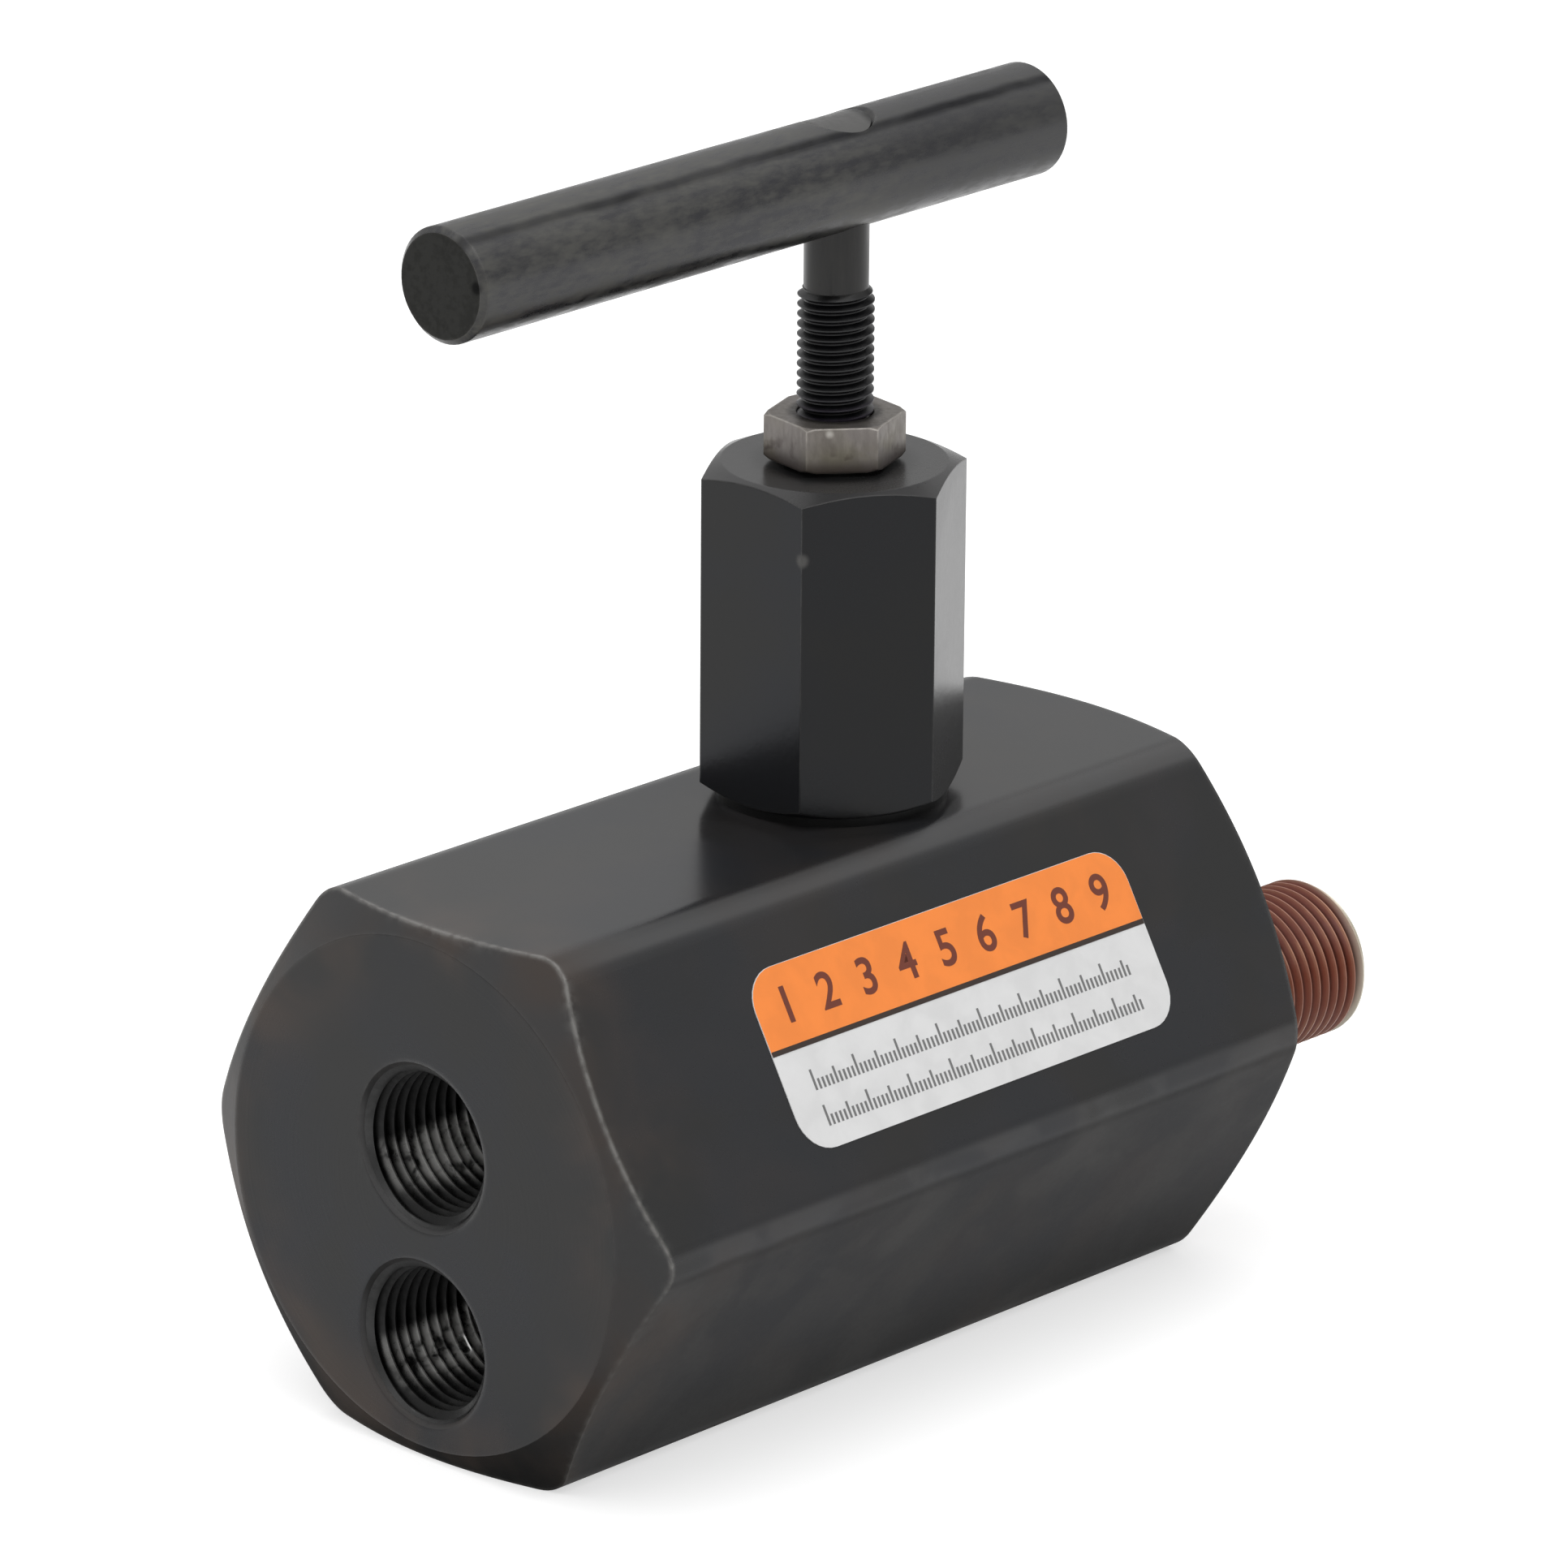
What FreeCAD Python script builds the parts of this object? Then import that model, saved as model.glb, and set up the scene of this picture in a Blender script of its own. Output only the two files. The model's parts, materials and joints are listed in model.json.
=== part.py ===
import FreeCAD, Part
import Sketcher
import os

# Pressure sequence valve in a hexagonal bar body. Millimetres, +Z up.
# The origin is the centre of the body's bottom flat. +X runs along the bar towards the nipple,
# two tapped ports open on the -X end face, and the spring bonnet stands on the top flat.
# The upright axis of the bonnet, seat, poppet, spring and screw is called the valve axis.

doc = FreeCAD.newDocument("SequenceValve")
sheet = doc.addObject("Spreadsheet::Sheet", "Sizes")

# Driving dimensions: word, value, what it measures
driving_sizes = [
    ("bar_flats", 57.15, "hexagonal body bar, across flats"),
    ("bar_length", 100.0, "body bar, end face to end face"),
    ("bar_edge_radius", 4.5, "rounding of the bar's six long edges"),
    ("end_circle_radius", 27.15, "flat circle left on each turned end face"),
    ("end_chamfer_angle", 30.0, "degrees between an end face and its turned chamfer"),
    ("port_thread_radius", 8.57, "3/8-18 pipe thread, outside radius"),
    ("port_mouth_radius", 9.0, "countersink at a port's mouth"),
    ("port_depth", 17.0, "threaded depth of each port"),
    ("port_one_rise", 5.125, "upper port on the near end face, above the bar's middle"),
    ("port_two_drop", 15.975, "lower port on the near end face, below the bar's middle"),
    ("gallery_radius", 3.5, "drilling from a port to the valve axis"),
    ("drill_tip_slope", 0.6, "depth per radius of a drilled step"),
    ("nipple_inset", 16.0, "nipple axis, inward from the bar's sharp side corner"),
    ("nipple_out", 17.0, "nipple length that stands out of the far end"),
    ("nipple_collar", 0.2, "screwed-in stretch of the nipple that shows next to the body"),
    ("nipple_runout", 0.8, "run-out between the nipple's two threads, length"),
    ("nipple_runout_depth", 0.5, "run-out between the nipple's two threads, depth"),
    ("nipple_short", 0.5, "gap between the nipple's inner end and its port's bottom"),
    ("nipple_bore_radius", 5.37, "bore of the heavy-wall nipple"),
    ("nipple_chamfer", 1.2, "chamfer at both ends of the nipple"),
    ("feed_radius", 2.5, "slanting drilling from the nipple's port to the inlet chamber"),
    ("feed_start_side", 3.5, "slanting drilling at the port's mouth, outward of the nipple axis"),
    ("feed_start_rise", 2.9, "slanting drilling at the port's mouth, above the nipple axis"),
    ("feed_end_side", 3.0, "slanting drilling at its inner end, beside the valve axis"),
    ("feed_end_drop", 3.0, "slanting drilling at its inner end, below the carrier's shoulder"),
    ("axis_offset", 9.6, "valve axis, along the bar from the bar's middle"),
    ("bonnet_thread_radius", 10.0, "thread between the bonnet and the body"),
    ("mouth_chamfer", 0.4, "chamfer at the mouth of the bonnet's thread"),
    ("cartridge_radius", 9.0, "bore that holds the seat carrier and the guide bush"),
    ("chamber_radius", 7.8, "inlet chamber below the seat carrier"),
    ("chamber_floor", 7.0, "floor of the inlet chamber above the bottom flat"),
    ("shoulder_depth", 37.15, "shoulder that the seat carrier rests on, below the top flat"),
    ("carrier_base", 11.0, "seat carrier, thickness of its solid base"),
    ("carrier_sleeve", 7.6, "seat carrier, height of its windowed sleeve"),
    ("sleeve_inner_radius", 6.6, "seat carrier, inside of the sleeve"),
    ("sleeve_recess", 1.0, "seat carrier, depth of the flow recess around the sleeve"),
    ("sleeve_rim", 1.0, "seat carrier, full-diameter rim above the recess"),
    ("window_radius", 2.8, "seat carrier, each of the flow windows"),
    ("window_count", 4, "seat carrier, number of flow windows"),
    ("seal_section", 1.4, "installed section of the seals on outside grooves"),
    ("backup_width", 0.8, "width of every anti-extrusion ring"),
    ("carrier_seal_drop", 3.6, "seat carrier, top of the base to its seal groove's lower wall"),
    ("insert_radius", 2.6, "seat insert, outside"),
    ("insert_length", 7.0, "seat insert, length"),
    ("insert_hole_radius", 1.6, "seat insert, flow hole"),
    ("insert_ledge", 0.6, "seat carrier, ledge that the insert bottoms on"),
    ("seat_width", 0.6, "seat insert, radial width of the conical seat"),
    ("seat_gap", 0.03, "poppet cone and check ball, clearance from their closed seats"),
    ("poppet_nose_radius", 0.8, "poppet, flat at the point of its cone"),
    ("poppet_head_radius", 3.6, "poppet, head"),
    ("poppet_lift", 1.2, "poppet, travel from seat to stop"),
    ("stem_radius", 2.5, "poppet stem"),
    ("running_fit", 0.02, "radial clearance of the stem in its bush and seals"),
    ("bush_length", 6.4, "guide bush, length"),
    ("bush_proud", 0.8, "guide bush, height above the body's bore step"),
    ("bush_rim", 1.0, "guide bush, rim below its outside groove"),
    ("stem_seal_rim", 2.4, "guide bush, rim below its inside groove"),
    ("stem_seal_section", 1.5, "installed section of the stem seal"),
    ("check_offset", 5.2, "check valve axis, sideways from the valve axis"),
    ("check_bore_radius", 1.7, "check valve, bore for ball and spring"),
    ("check_bore_depth", 6.4, "check valve, depth of that bore from below"),
    ("check_hole_radius", 0.95, "check valve, hole above the ball"),
    ("check_ball_radius", 1.5, "check valve, ball"),
    ("check_wire_radius", 0.15, "check valve, spring wire"),
    ("check_coil_radius", 1.1, "check valve, spring mean coil radius"),
    ("check_coils", 4, "check valve, spring coils"),
    ("retainer_length", 1.4, "check valve, retaining ring"),
    ("retainer_hole_radius", 0.7, "check valve, hole in the retaining ring"),
    ("gasket_height", 0.9, "gasket between the body's top flat and the bonnet's hexagon"),
    ("bonnet_flats", 24.6, "bonnet hexagon, across flats"),
    ("bonnet_height", 34.85, "bonnet hexagon, height"),
    ("bonnet_face_radius", 11.7, "flat circle left on the upper end of the bonnet's hexagon"),
    ("bonnet_chamfer_angle", 22.5, "degrees between that face and its turned chamfer"),
    ("bonnet_base_radius", 12.0, "flat circle left on the lower end, and outside of the gasket"),
    ("bonnet_base_angle", 28.0, "degrees between that face and its turned chamfer"),
    ("bonnet_relief", 0.6, "thread relief under the hexagon, radial depth"),
    ("bonnet_relief_length", 1.9, "thread relief under the hexagon, length"),
    ("bonnet_lead", 0.8, "chamfer at the lower end of the bonnet's thread"),
    ("bonnet_roof", 8.25, "threaded roof of the bonnet above the spring chamber"),
    ("spring_bore_radius", 7.0, "spring chamber in the bonnet"),
    ("spring_seat_radius", 6.7, "both spring seats, outside"),
    ("spring_pilot_radius", 3.6, "both spring seats, pilot inside the spring"),
    ("spring_pilot_length", 3.7, "both spring seats, pilot length"),
    ("pilot_chamfer", 0.7, "both spring seats, chamfer at the pilot's end"),
    ("lower_seat_gap", 1.8, "lower spring seat above the guide bush"),
    ("lower_seat_height", 3.2, "lower spring seat, thickness of its flange"),
    ("stem_socket", 1.8, "lower spring seat, depth of the stem's socket"),
    ("spring_length", 26.0, "main spring, length at rest"),
    ("spring_coil_radius", 5.1, "main spring, mean coil radius"),
    ("spring_wire_radius", 1.2, "main spring, wire"),
    ("spring_coils", 6.5, "main spring, coils"),
    ("upper_seat_height", 3.0, "upper spring seat, thickness of its flange"),
    ("thrust_ball_radius", 2.38, "ball between the screw and the upper spring seat"),
    ("thrust_ball_rise", 1.6, "ball centre above the upper spring seat"),
    ("thrust_ball_gap", 1.0, "screw's end face above the ball's centre"),
    ("ball_fit", 0.03, "clearance of the screw's cup round the ball"),
    ("screw_radius", 3.97, "5/16-24 adjusting screw, outside radius"),
    ("screw_fit", 0.03, "radial clearance of the screw in bonnet and nut"),
    ("screw_lead", 0.9, "chamfer at the screw's lower end"),
    ("screw_shown", 12.7, "thread that shows above the jam nut"),
    ("neck_radius", 3.35, "plain neck of the screw"),
    ("neck_shown", 6.6, "plain neck that shows below the handle"),
    ("neck_short", 0.5, "neck's riveted end below the top of the handle"),
    ("nut_flats", 12.7, "jam nut, across flats"),
    ("nut_height", 4.75, "jam nut, height"),
    ("nut_gap", 0.45, "jam nut, height above the bonnet that its sealing ring holds open"),
    ("nut_face_radius", 6.85, "flat circle left on both ends of the jam nut"),
    ("nut_chamfer_angle", 30.0, "degrees between those faces and their chamfers"),
    ("nut_turn", -10.0, "degrees that the jam nut stands turned from the bonnet"),
    ("nut_seal_radius", 5.2, "recess for the sealing ring under the jam nut"),
    ("nut_seal_height", 1.2, "depth of that recess"),
    ("nut_seal_fit", 0.04, "clearance of the sealing ring in nut and screw"),
    ("handle_radius", 5.95, "handle bar"),
    ("handle_length", 86.7, "handle bar, length"),
    ("handle_shift", 14.07, "handle bar's middle, towards the ports from the screw"),
    ("handle_chamfer", 0.6, "chamfer at both ends of the handle bar"),
    ("handle_yaw", 1.0, "degrees that the handle stands turned from the bar's axis"),
    ("rivet_sink", 0.5, "countersink in the handle round the riveted neck"),
]
for row, (word, value, note) in enumerate(driving_sizes, start=1):
    sheet.set(f"A{row}", note)
    sheet.set(f"B{row}", str(value))
    sheet.setAlias(f"B{row}", word)
doc.recompute()

# Places along the bar, and heights above the bottom flat, stacked from piece to piece
top_flat = "Sizes.bar_flats"
bar_middle = "(Sizes.bar_flats / 2)"
near_end = "(-Sizes.bar_length / 2)"
far_end = "(Sizes.bar_length / 2)"
port_one_height = f"({bar_middle} + Sizes.port_one_rise)"
port_two_height = f"({bar_middle} - Sizes.port_two_drop)"
nipple_side = "(Sizes.bar_flats / sqrt(3) - Sizes.nipple_inset)"
carrier_bottom = f"({top_flat} - Sizes.shoulder_depth)"
seat_top = f"({carrier_bottom} + Sizes.carrier_base)"
insert_bottom = f"({seat_top} - Sizes.insert_length)"
bush_bottom = f"({seat_top} + Sizes.carrier_sleeve)"
bush_top = f"({bush_bottom} + Sizes.bush_length)"
hexagon_bottom = f"({top_flat} + Sizes.gasket_height)"
hexagon_top = f"({hexagon_bottom} + Sizes.bonnet_height)"
spring_roof = f"({hexagon_top} - Sizes.bonnet_roof)"
lower_seat_bottom = f"({bush_top} + Sizes.lower_seat_gap)"
spring_bottom = f"({lower_seat_bottom} + Sizes.lower_seat_height)"
spring_top = f"({spring_bottom} + Sizes.spring_length)"
upper_seat_top = f"({spring_top} + Sizes.upper_seat_height)"
thrust_ball_height = f"({upper_seat_top} + Sizes.thrust_ball_rise)"
screw_bottom = f"({thrust_ball_height} + Sizes.thrust_ball_gap)"
nut_bottom = f"({hexagon_top} + Sizes.nut_gap)"
nut_top = f"({nut_bottom} + Sizes.nut_height)"
thread_top = f"({nut_top} + Sizes.screw_shown)"
handle_height = f"({thread_top} + Sizes.neck_shown + Sizes.handle_radius)"
screw_top = f"({handle_height} + Sizes.handle_radius - Sizes.neck_short)"
retainer_top = f"({carrier_bottom} + Sizes.retainer_length)"
check_cone_bottom = f"({carrier_bottom} + Sizes.check_bore_depth)"
check_ball_height = (
    f"({check_cone_bottom} + Sizes.check_bore_radius"
    f" - sqrt(2) * (Sizes.check_ball_radius + Sizes.seat_gap))"
)
outer_groove_radius = "(Sizes.cartridge_radius - Sizes.seal_section)"
outer_groove_width = "(Sizes.seal_section + Sizes.backup_width)"
stem_hole_radius = "(Sizes.stem_radius + Sizes.running_fit)"
stem_groove_radius = f"({stem_hole_radius} + Sizes.stem_seal_section)"
stem_groove_width = "(Sizes.stem_seal_section + Sizes.backup_width)"
carrier_groove = f"({seat_top} - Sizes.carrier_seal_drop)"
bush_groove = f"({bush_bottom} + Sizes.bush_rim)"
stem_groove = f"({bush_bottom} + Sizes.stem_seal_rim)"
cone_root = f"({seat_top} - Sizes.insert_hole_radius - Sizes.seat_width)"


def size(word):
    return float(sheet.get(word))


def value_of(expression):
    return float(sheet.evalExpression(expression))


def new_body(label):
    body = doc.addObject("PartDesign::Body", label)
    body.Label = label
    return body


def place(piece, along="Sizes.axis_offset", side="0", height="0"):
    piece.setExpression("Placement.Base.x", along)
    piece.setExpression("Placement.Base.y", side)
    piece.setExpression("Placement.Base.z", height)


def new_sketch(body, name, role, shift=None):
    sketch = body.newObject("Sketcher::SketchObject", name)
    plane = next(item for item in body.Origin.OriginFeatures if item.Role == role)
    sketch.AttachmentSupport = [(plane, "")]
    sketch.MapMode = "FlatFace"
    for direction, expression in (shift or {}).items():
        sketch.setExpression(f"AttachmentOffset.Base.{direction}", expression)
    return sketch


def hold_point(sketch, edge, end, corner):
    # ties one point of the sketch to its two coordinates
    for kind, axis, expression in (("DistanceX", -2, corner[0]), ("DistanceY", -1, corner[1])):
        if expression == "0":
            sketch.addConstraint(Sketcher.Constraint("PointOnObject", edge, end, axis))
        else:
            value = float(sketch.evalExpression(expression))
            index = sketch.addConstraint(Sketcher.Constraint(kind, edge, end, value))
            sketch.setExpression(f"Constraints[{index}]", expression)


def add_loop(sketch, corners):
    # closed loop of straight edges through the corners
    first = sketch.GeometryCount
    count = len(corners)
    places = [[float(sketch.evalExpression(part)) for part in corner] for corner in corners]
    for index in range(count):
        start = FreeCAD.Vector(*places[index], 0)
        finish = FreeCAD.Vector(*places[(index + 1) % count], 0)
        sketch.addGeometry(Part.LineSegment(start, finish), False)
    for index, corner in enumerate(corners):
        after = first + (index + 1) % count
        sketch.addConstraint(Sketcher.Constraint("Coincident", first + index, 2, after, 1))
        hold_point(sketch, first + index, 1, corner)


def add_circle(sketch, centre, radius):
    middle = FreeCAD.Vector(*[float(sketch.evalExpression(part)) for part in centre], 0)
    value = float(sketch.evalExpression(radius))
    edge = sketch.addGeometry(Part.Circle(middle, FreeCAD.Vector(0, 0, 1), value), False)
    hold_point(sketch, edge, 3, centre)
    index = sketch.addConstraint(Sketcher.Constraint("Radius", edge, value))
    sketch.setExpression(f"Constraints[{index}]", radius)


def turn(body, name, loops, cut=False, axis="V_Axis", shift=None):
    # turned form: the profile lies in the XZ plane and goes once round the axis
    sketch = new_sketch(body, name + "Profile", "XZ_Plane", shift)
    for corners in loops:
        add_loop(sketch, corners)
    kind = "PartDesign::Groove" if cut else "PartDesign::Revolution"
    feature = body.newObject(kind, name)
    feature.Profile = sketch
    feature.ReferenceAxis = (sketch, [axis])
    feature.Angle = 360
    return feature


def turned_piece(label, corners):
    # a piece that is one turned profile about the valve axis
    body = new_body(label)
    turn(body, "Turned" + label.title().replace("_", ""), [corners])
    place(body)
    return body


def pad(body, name, role, draw, length, shift=None):
    sketch = new_sketch(body, name + "Outline", role, shift)
    draw(sketch)
    feature = body.newObject("PartDesign::Pad", name)
    feature.Profile = sketch
    feature.setExpression("Length", length)
    return feature


def hexagon_corners(flats):
    # corners about the sketch's origin, with two flats facing the sketch's first axis
    half = f"({flats} / 2)"
    tip = f"({flats} / sqrt(3))"
    side = f"({tip} / 2)"
    return [(half, side), ("0", tip), (f"-{half}", side),
            (f"-{half}", f"-{side}"), ("0", f"-{tip}"), (half, f"-{side}")]


def turned_chamfer(face, inner_radius, outer_radius, angle, towards):
    # triangle outside the flat circle of an end face, in (radius, height)
    drop = f"({outer_radius} - {inner_radius}) * tan({angle})"
    return [(inner_radius, face), (outer_radius, face), (outer_radius, f"{face} {towards} {drop}")]


def hexagon_post(label, flats, bottom, height, upper_end, lower_end):
    # hexagonal stock along the valve axis, each end turned to a flat circle at its own angle
    body = new_body(label)
    pad(body, "Hexagon", "XY_Plane", lambda sketch: add_loop(sketch, hexagon_corners(flats)),
        height, {"z": bottom})
    reach = f"({flats} / sqrt(3) + 1)"
    top = f"({bottom} + {height})"
    upper_circle, upper_angle = upper_end
    lower_circle, lower_angle = lower_end
    turn(body, "TurnedEnds", [turned_chamfer(top, upper_circle, reach, upper_angle, "-"),
                              turned_chamfer(bottom, lower_circle, reach, lower_angle, "+")], cut=True)
    place(body)
    return body


def ring_piece(label, inner, outer, bottom, height):
    # square-section ring about the valve axis
    top = f"({bottom} + {height})"
    return turned_piece(label, [(inner, bottom), (outer, bottom), (outer, top), (inner, top)])


def octagon(across, up, half):
    # eight-sided section, its flats as far from the centre as the round one's edge
    short = f"({half} * tan(22.5))"
    corners = [(half, short), (short, half), (f"-{short}", half), (f"-{half}", short),
               (f"-{half}", f"-{short}"), (f"-{short}", f"-{half}"), (short, f"-{half}"), (half, f"-{short}")]
    return [(f"({across} + {x})", f"({up} + {y})") for x, y in corners]


def seal_ring(label, inner, section, bottom):
    # seal ring about the valve axis, pressed flat where it touches groove and bore
    half = f"({section} / 2)"
    return turned_piece(label, octagon(f"({inner} + {half})", f"({bottom} + {half})", half))


def ball_piece(label, radius, along, height):
    ball = doc.addObject("Part::Sphere", label)
    ball.Label = label
    ball.setExpression("Radius", radius)
    place(ball, along=along, height=height)
    return ball


def cup(body, name, radius, height):
    # spherical cup on the valve axis
    feature = body.newObject("PartDesign::SubtractiveSphere", name)
    feature.setExpression("Radius", radius)
    feature.setExpression("Placement.Base.z", height)
    return feature


def coil(label, wire, mean, bottom, top, turns, along):
    # helical spring of eight-sided wire
    body = new_body(label)
    sketch = new_sketch(body, "WireSection", "XZ_Plane")
    add_loop(sketch, octagon(mean, bottom, wire))
    spring = body.newObject("PartDesign::AdditiveHelix", "Coils")
    spring.Profile = sketch
    spring.ReferenceAxis = (sketch, ["V_Axis"])
    spring.Mode = "height-turns-angle"
    spring.setExpression("Height", f"{top} - {bottom}")
    spring.setExpression("Turns", turns)
    place(body, along=along)
    return body


def bored_port(body, name, height, side="0", far=False, bottom="Sizes.gallery_radius", reach=None):
    # countersunk mouth, threaded length, drilled step and, where it has one, the gallery beyond
    face, sign = (far_end, "-") if far else (near_end, "+")
    mouth = "Sizes.port_mouth_radius"
    thread = "Sizes.port_thread_radius"
    sink = f"({face} {sign} ({mouth} - {thread}))"
    floor = f"({face} {sign} Sizes.port_depth)"
    step = f"({floor} {sign} ({thread} - {bottom}) * Sizes.drill_tip_slope)"
    corners = [(face, "0"), (face, mouth), (sink, thread), (floor, thread), (step, bottom)]
    if reach:
        corners.append((reach, bottom))
        corners.append((reach, "0"))
    else:
        corners.append((step, "0"))
    return turn(body, name, [corners], cut=True, axis="H_Axis", shift={"y": height, "z": side})


# Body: hexagonal bar, rounded along its six edges, both ends turned to a full circle
def make_valve_body():
    body = new_body("valve_body")
    bar = pad(body, "HexagonBar", "YZ_Plane",
              lambda sketch: add_loop(sketch, [(y, x) for x, y in hexagon_corners("Sizes.bar_flats")]),
              "Sizes.bar_length", {"y": bar_middle, "z": near_end})
    doc.recompute()
    long_edges = [f"Edge{index}" for index, edge in enumerate(bar.Shape.Edges, start=1)
                  if edge.BoundBox.XLength > size("bar_length") / 2]
    rounding = body.newObject("PartDesign::Fillet", "LongEdges")
    rounding.Base = (bar, long_edges)
    rounding.setExpression("Radius", "Sizes.bar_edge_radius")
    reach = "(Sizes.bar_flats / sqrt(3) + 1)"
    inner = "Sizes.end_circle_radius"
    drop = f"({reach} - {inner}) * tan(Sizes.end_chamfer_angle)"
    turn(body, "TurnedEnds",
         [[(near_end, inner), (near_end, reach), (f"{near_end} + {drop}", reach)],
          [(far_end, inner), (far_end, reach), (f"{far_end} - {drop}", reach)]],
         cut=True, axis="H_Axis", shift={"y": bar_middle})
    bored_port(body, "PortOne", port_one_height, reach="Sizes.axis_offset")
    bored_port(body, "PortTwo", port_two_height, reach="Sizes.axis_offset")
    bored_port(body, "NipplePort", bar_middle, side=nipple_side, far=True)
    step = f"({bush_top} - Sizes.bush_proud)"
    thread = "Sizes.bonnet_thread_radius"
    turn(body, "ValveBore",
         [[("0", top_flat), (f"{thread} + Sizes.mouth_chamfer", top_flat),
           (thread, f"{top_flat} - Sizes.mouth_chamfer"), (thread, step),
           ("Sizes.cartridge_radius", step), ("Sizes.cartridge_radius", carrier_bottom),
           ("Sizes.chamber_radius", carrier_bottom), ("Sizes.chamber_radius", "Sizes.chamber_floor"),
           ("0", "Sizes.chamber_floor")]],
         cut=True, shift={"x": "Sizes.axis_offset"})
    # slanting drilling: in through the nipple port's mouth, down and across to the inlet chamber
    outer = FreeCAD.Vector(size("bar_length") / 2,
                           -value_of(nipple_side) - size("feed_start_side"),
                           value_of(bar_middle) + size("feed_start_rise"))
    inner_end = FreeCAD.Vector(size("axis_offset"), -size("feed_end_side"),
                               value_of(carrier_bottom) - size("feed_end_drop"))
    run = outer - inner_end
    feed = body.newObject("PartDesign::SubtractiveCylinder", "SlantingFeed")
    feed.setExpression("Radius", "Sizes.feed_radius")
    feed.Height = run.Length
    feed.Placement = FreeCAD.Placement(inner_end, FreeCAD.Rotation(FreeCAD.Vector(0, 0, 1), run))
    return body


# Nipple: heavy-wall pipe, threaded along its whole length, screwed into the far end
def make_nipple():
    body = new_body("port_nipple")
    inner_end = f"({far_end} - Sizes.port_depth + Sizes.nipple_short)"
    outer_end = f"({far_end} + Sizes.nipple_out)"
    collar_end = f"({far_end} + Sizes.nipple_collar)"
    free_thread = f"({collar_end} + Sizes.nipple_runout)"
    bore = "Sizes.nipple_bore_radius"
    thread = "Sizes.port_thread_radius"
    waist = f"({thread} - Sizes.nipple_runout_depth)"
    lead = "Sizes.nipple_chamfer"
    turn(body, "Pipe",
         [[(inner_end, bore), (inner_end, f"{thread} - {lead}"), (f"{inner_end} + {lead}", thread),
           (collar_end, thread), (collar_end, waist), (free_thread, waist), (free_thread, thread),
           (f"{outer_end} - {lead}", thread), (outer_end, f"{thread} - {lead}"), (outer_end, bore)]],
         axis="H_Axis")
    place(body, along="0", side=f"-{nipple_side}", height=bar_middle)
    return body


# Bonnet: hexagonal spring housing with a threaded neck
def make_bonnet():
    body = hexagon_post("bonnet", "Sizes.bonnet_flats", hexagon_bottom, "Sizes.bonnet_height",
                        ("Sizes.bonnet_face_radius", "Sizes.bonnet_chamfer_angle"),
                        ("Sizes.bonnet_base_radius", "Sizes.bonnet_base_angle"))
    thread = "Sizes.bonnet_thread_radius"
    relief = f"({thread} - Sizes.bonnet_relief)"
    relief_end = f"({hexagon_bottom} - Sizes.bonnet_relief_length)"
    turn(body, "ThreadedNeck",
         [[("0", hexagon_bottom), (relief, hexagon_bottom), (relief, relief_end),
           (thread, f"{relief_end} - Sizes.bonnet_relief"), (thread, f"{bush_top} + Sizes.bonnet_lead"),
           (f"{thread} - Sizes.bonnet_lead", bush_top), ("0", bush_top)]])
    hole = "(Sizes.screw_radius + Sizes.screw_fit)"
    bore = "Sizes.spring_bore_radius"
    turn(body, "SpringChamber",
         [[("0", bush_top), (bore, bush_top), (bore, spring_roof), (hole, spring_roof),
           (hole, hexagon_top), ("0", hexagon_top)]], cut=True)
    return body


# Seat carrier: base with seat and check valve, windowed sleeve above
def make_seat_carrier():
    full = "Sizes.cartridge_radius"
    recess = "(Sizes.cartridge_radius - Sizes.sleeve_recess)"
    recess_top = f"({bush_bottom} - Sizes.sleeve_rim)"
    ledge_hole = "(Sizes.insert_radius - Sizes.insert_ledge)"
    body = turned_piece("seat_carrier", [
        (ledge_hole, carrier_bottom), (full, carrier_bottom), (full, carrier_groove),
        (outer_groove_radius, carrier_groove),
        (outer_groove_radius, f"{carrier_groove} + {outer_groove_width}"),
        (full, f"{carrier_groove} + {outer_groove_width}"), (full, seat_top), (recess, seat_top),
        (recess, recess_top), (full, recess_top), (full, bush_bottom),
        ("Sizes.sleeve_inner_radius", bush_bottom), ("Sizes.sleeve_inner_radius", seat_top),
        ("Sizes.insert_radius", seat_top), ("Sizes.insert_radius", insert_bottom),
        (ledge_hole, insert_bottom)])
    turn(body, "CheckBore",
         [[("0", carrier_bottom), ("Sizes.check_bore_radius", carrier_bottom),
           ("Sizes.check_bore_radius", check_cone_bottom),
           ("Sizes.check_hole_radius",
            f"{check_cone_bottom} + Sizes.check_bore_radius - Sizes.check_hole_radius"),
           ("Sizes.check_hole_radius", seat_top), ("0", seat_top)]],
         cut=True, shift={"x": "-Sizes.check_offset"})
    window_height = f"(({seat_top} + {recess_top}) / 2)"
    sketch = new_sketch(body, "WindowOutline", "XZ_Plane")
    add_circle(sketch, ("0", window_height), "Sizes.window_radius")
    window = body.newObject("PartDesign::Pocket", "Window")
    window.Profile = sketch
    window.setExpression("Length", f"{full} + 1")
    pattern = body.newObject("PartDesign::PolarPattern", "Windows")
    pattern.Originals = [window]
    pattern.Axis = (sketch, ["V_Axis"])
    pattern.Angle = 360
    pattern.setExpression("Occurrences", "Sizes.window_count")
    body.Tip = pattern
    return body


def make_seat_insert():
    hole = "Sizes.insert_hole_radius"
    edge = f"({hole} + Sizes.seat_width)"
    outside = "Sizes.insert_radius"
    return turned_piece("seat_insert", [
        (hole, insert_bottom), (outside, insert_bottom), (outside, seat_top), (edge, seat_top),
        (hole, f"{seat_top} - Sizes.seat_width")])


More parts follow.
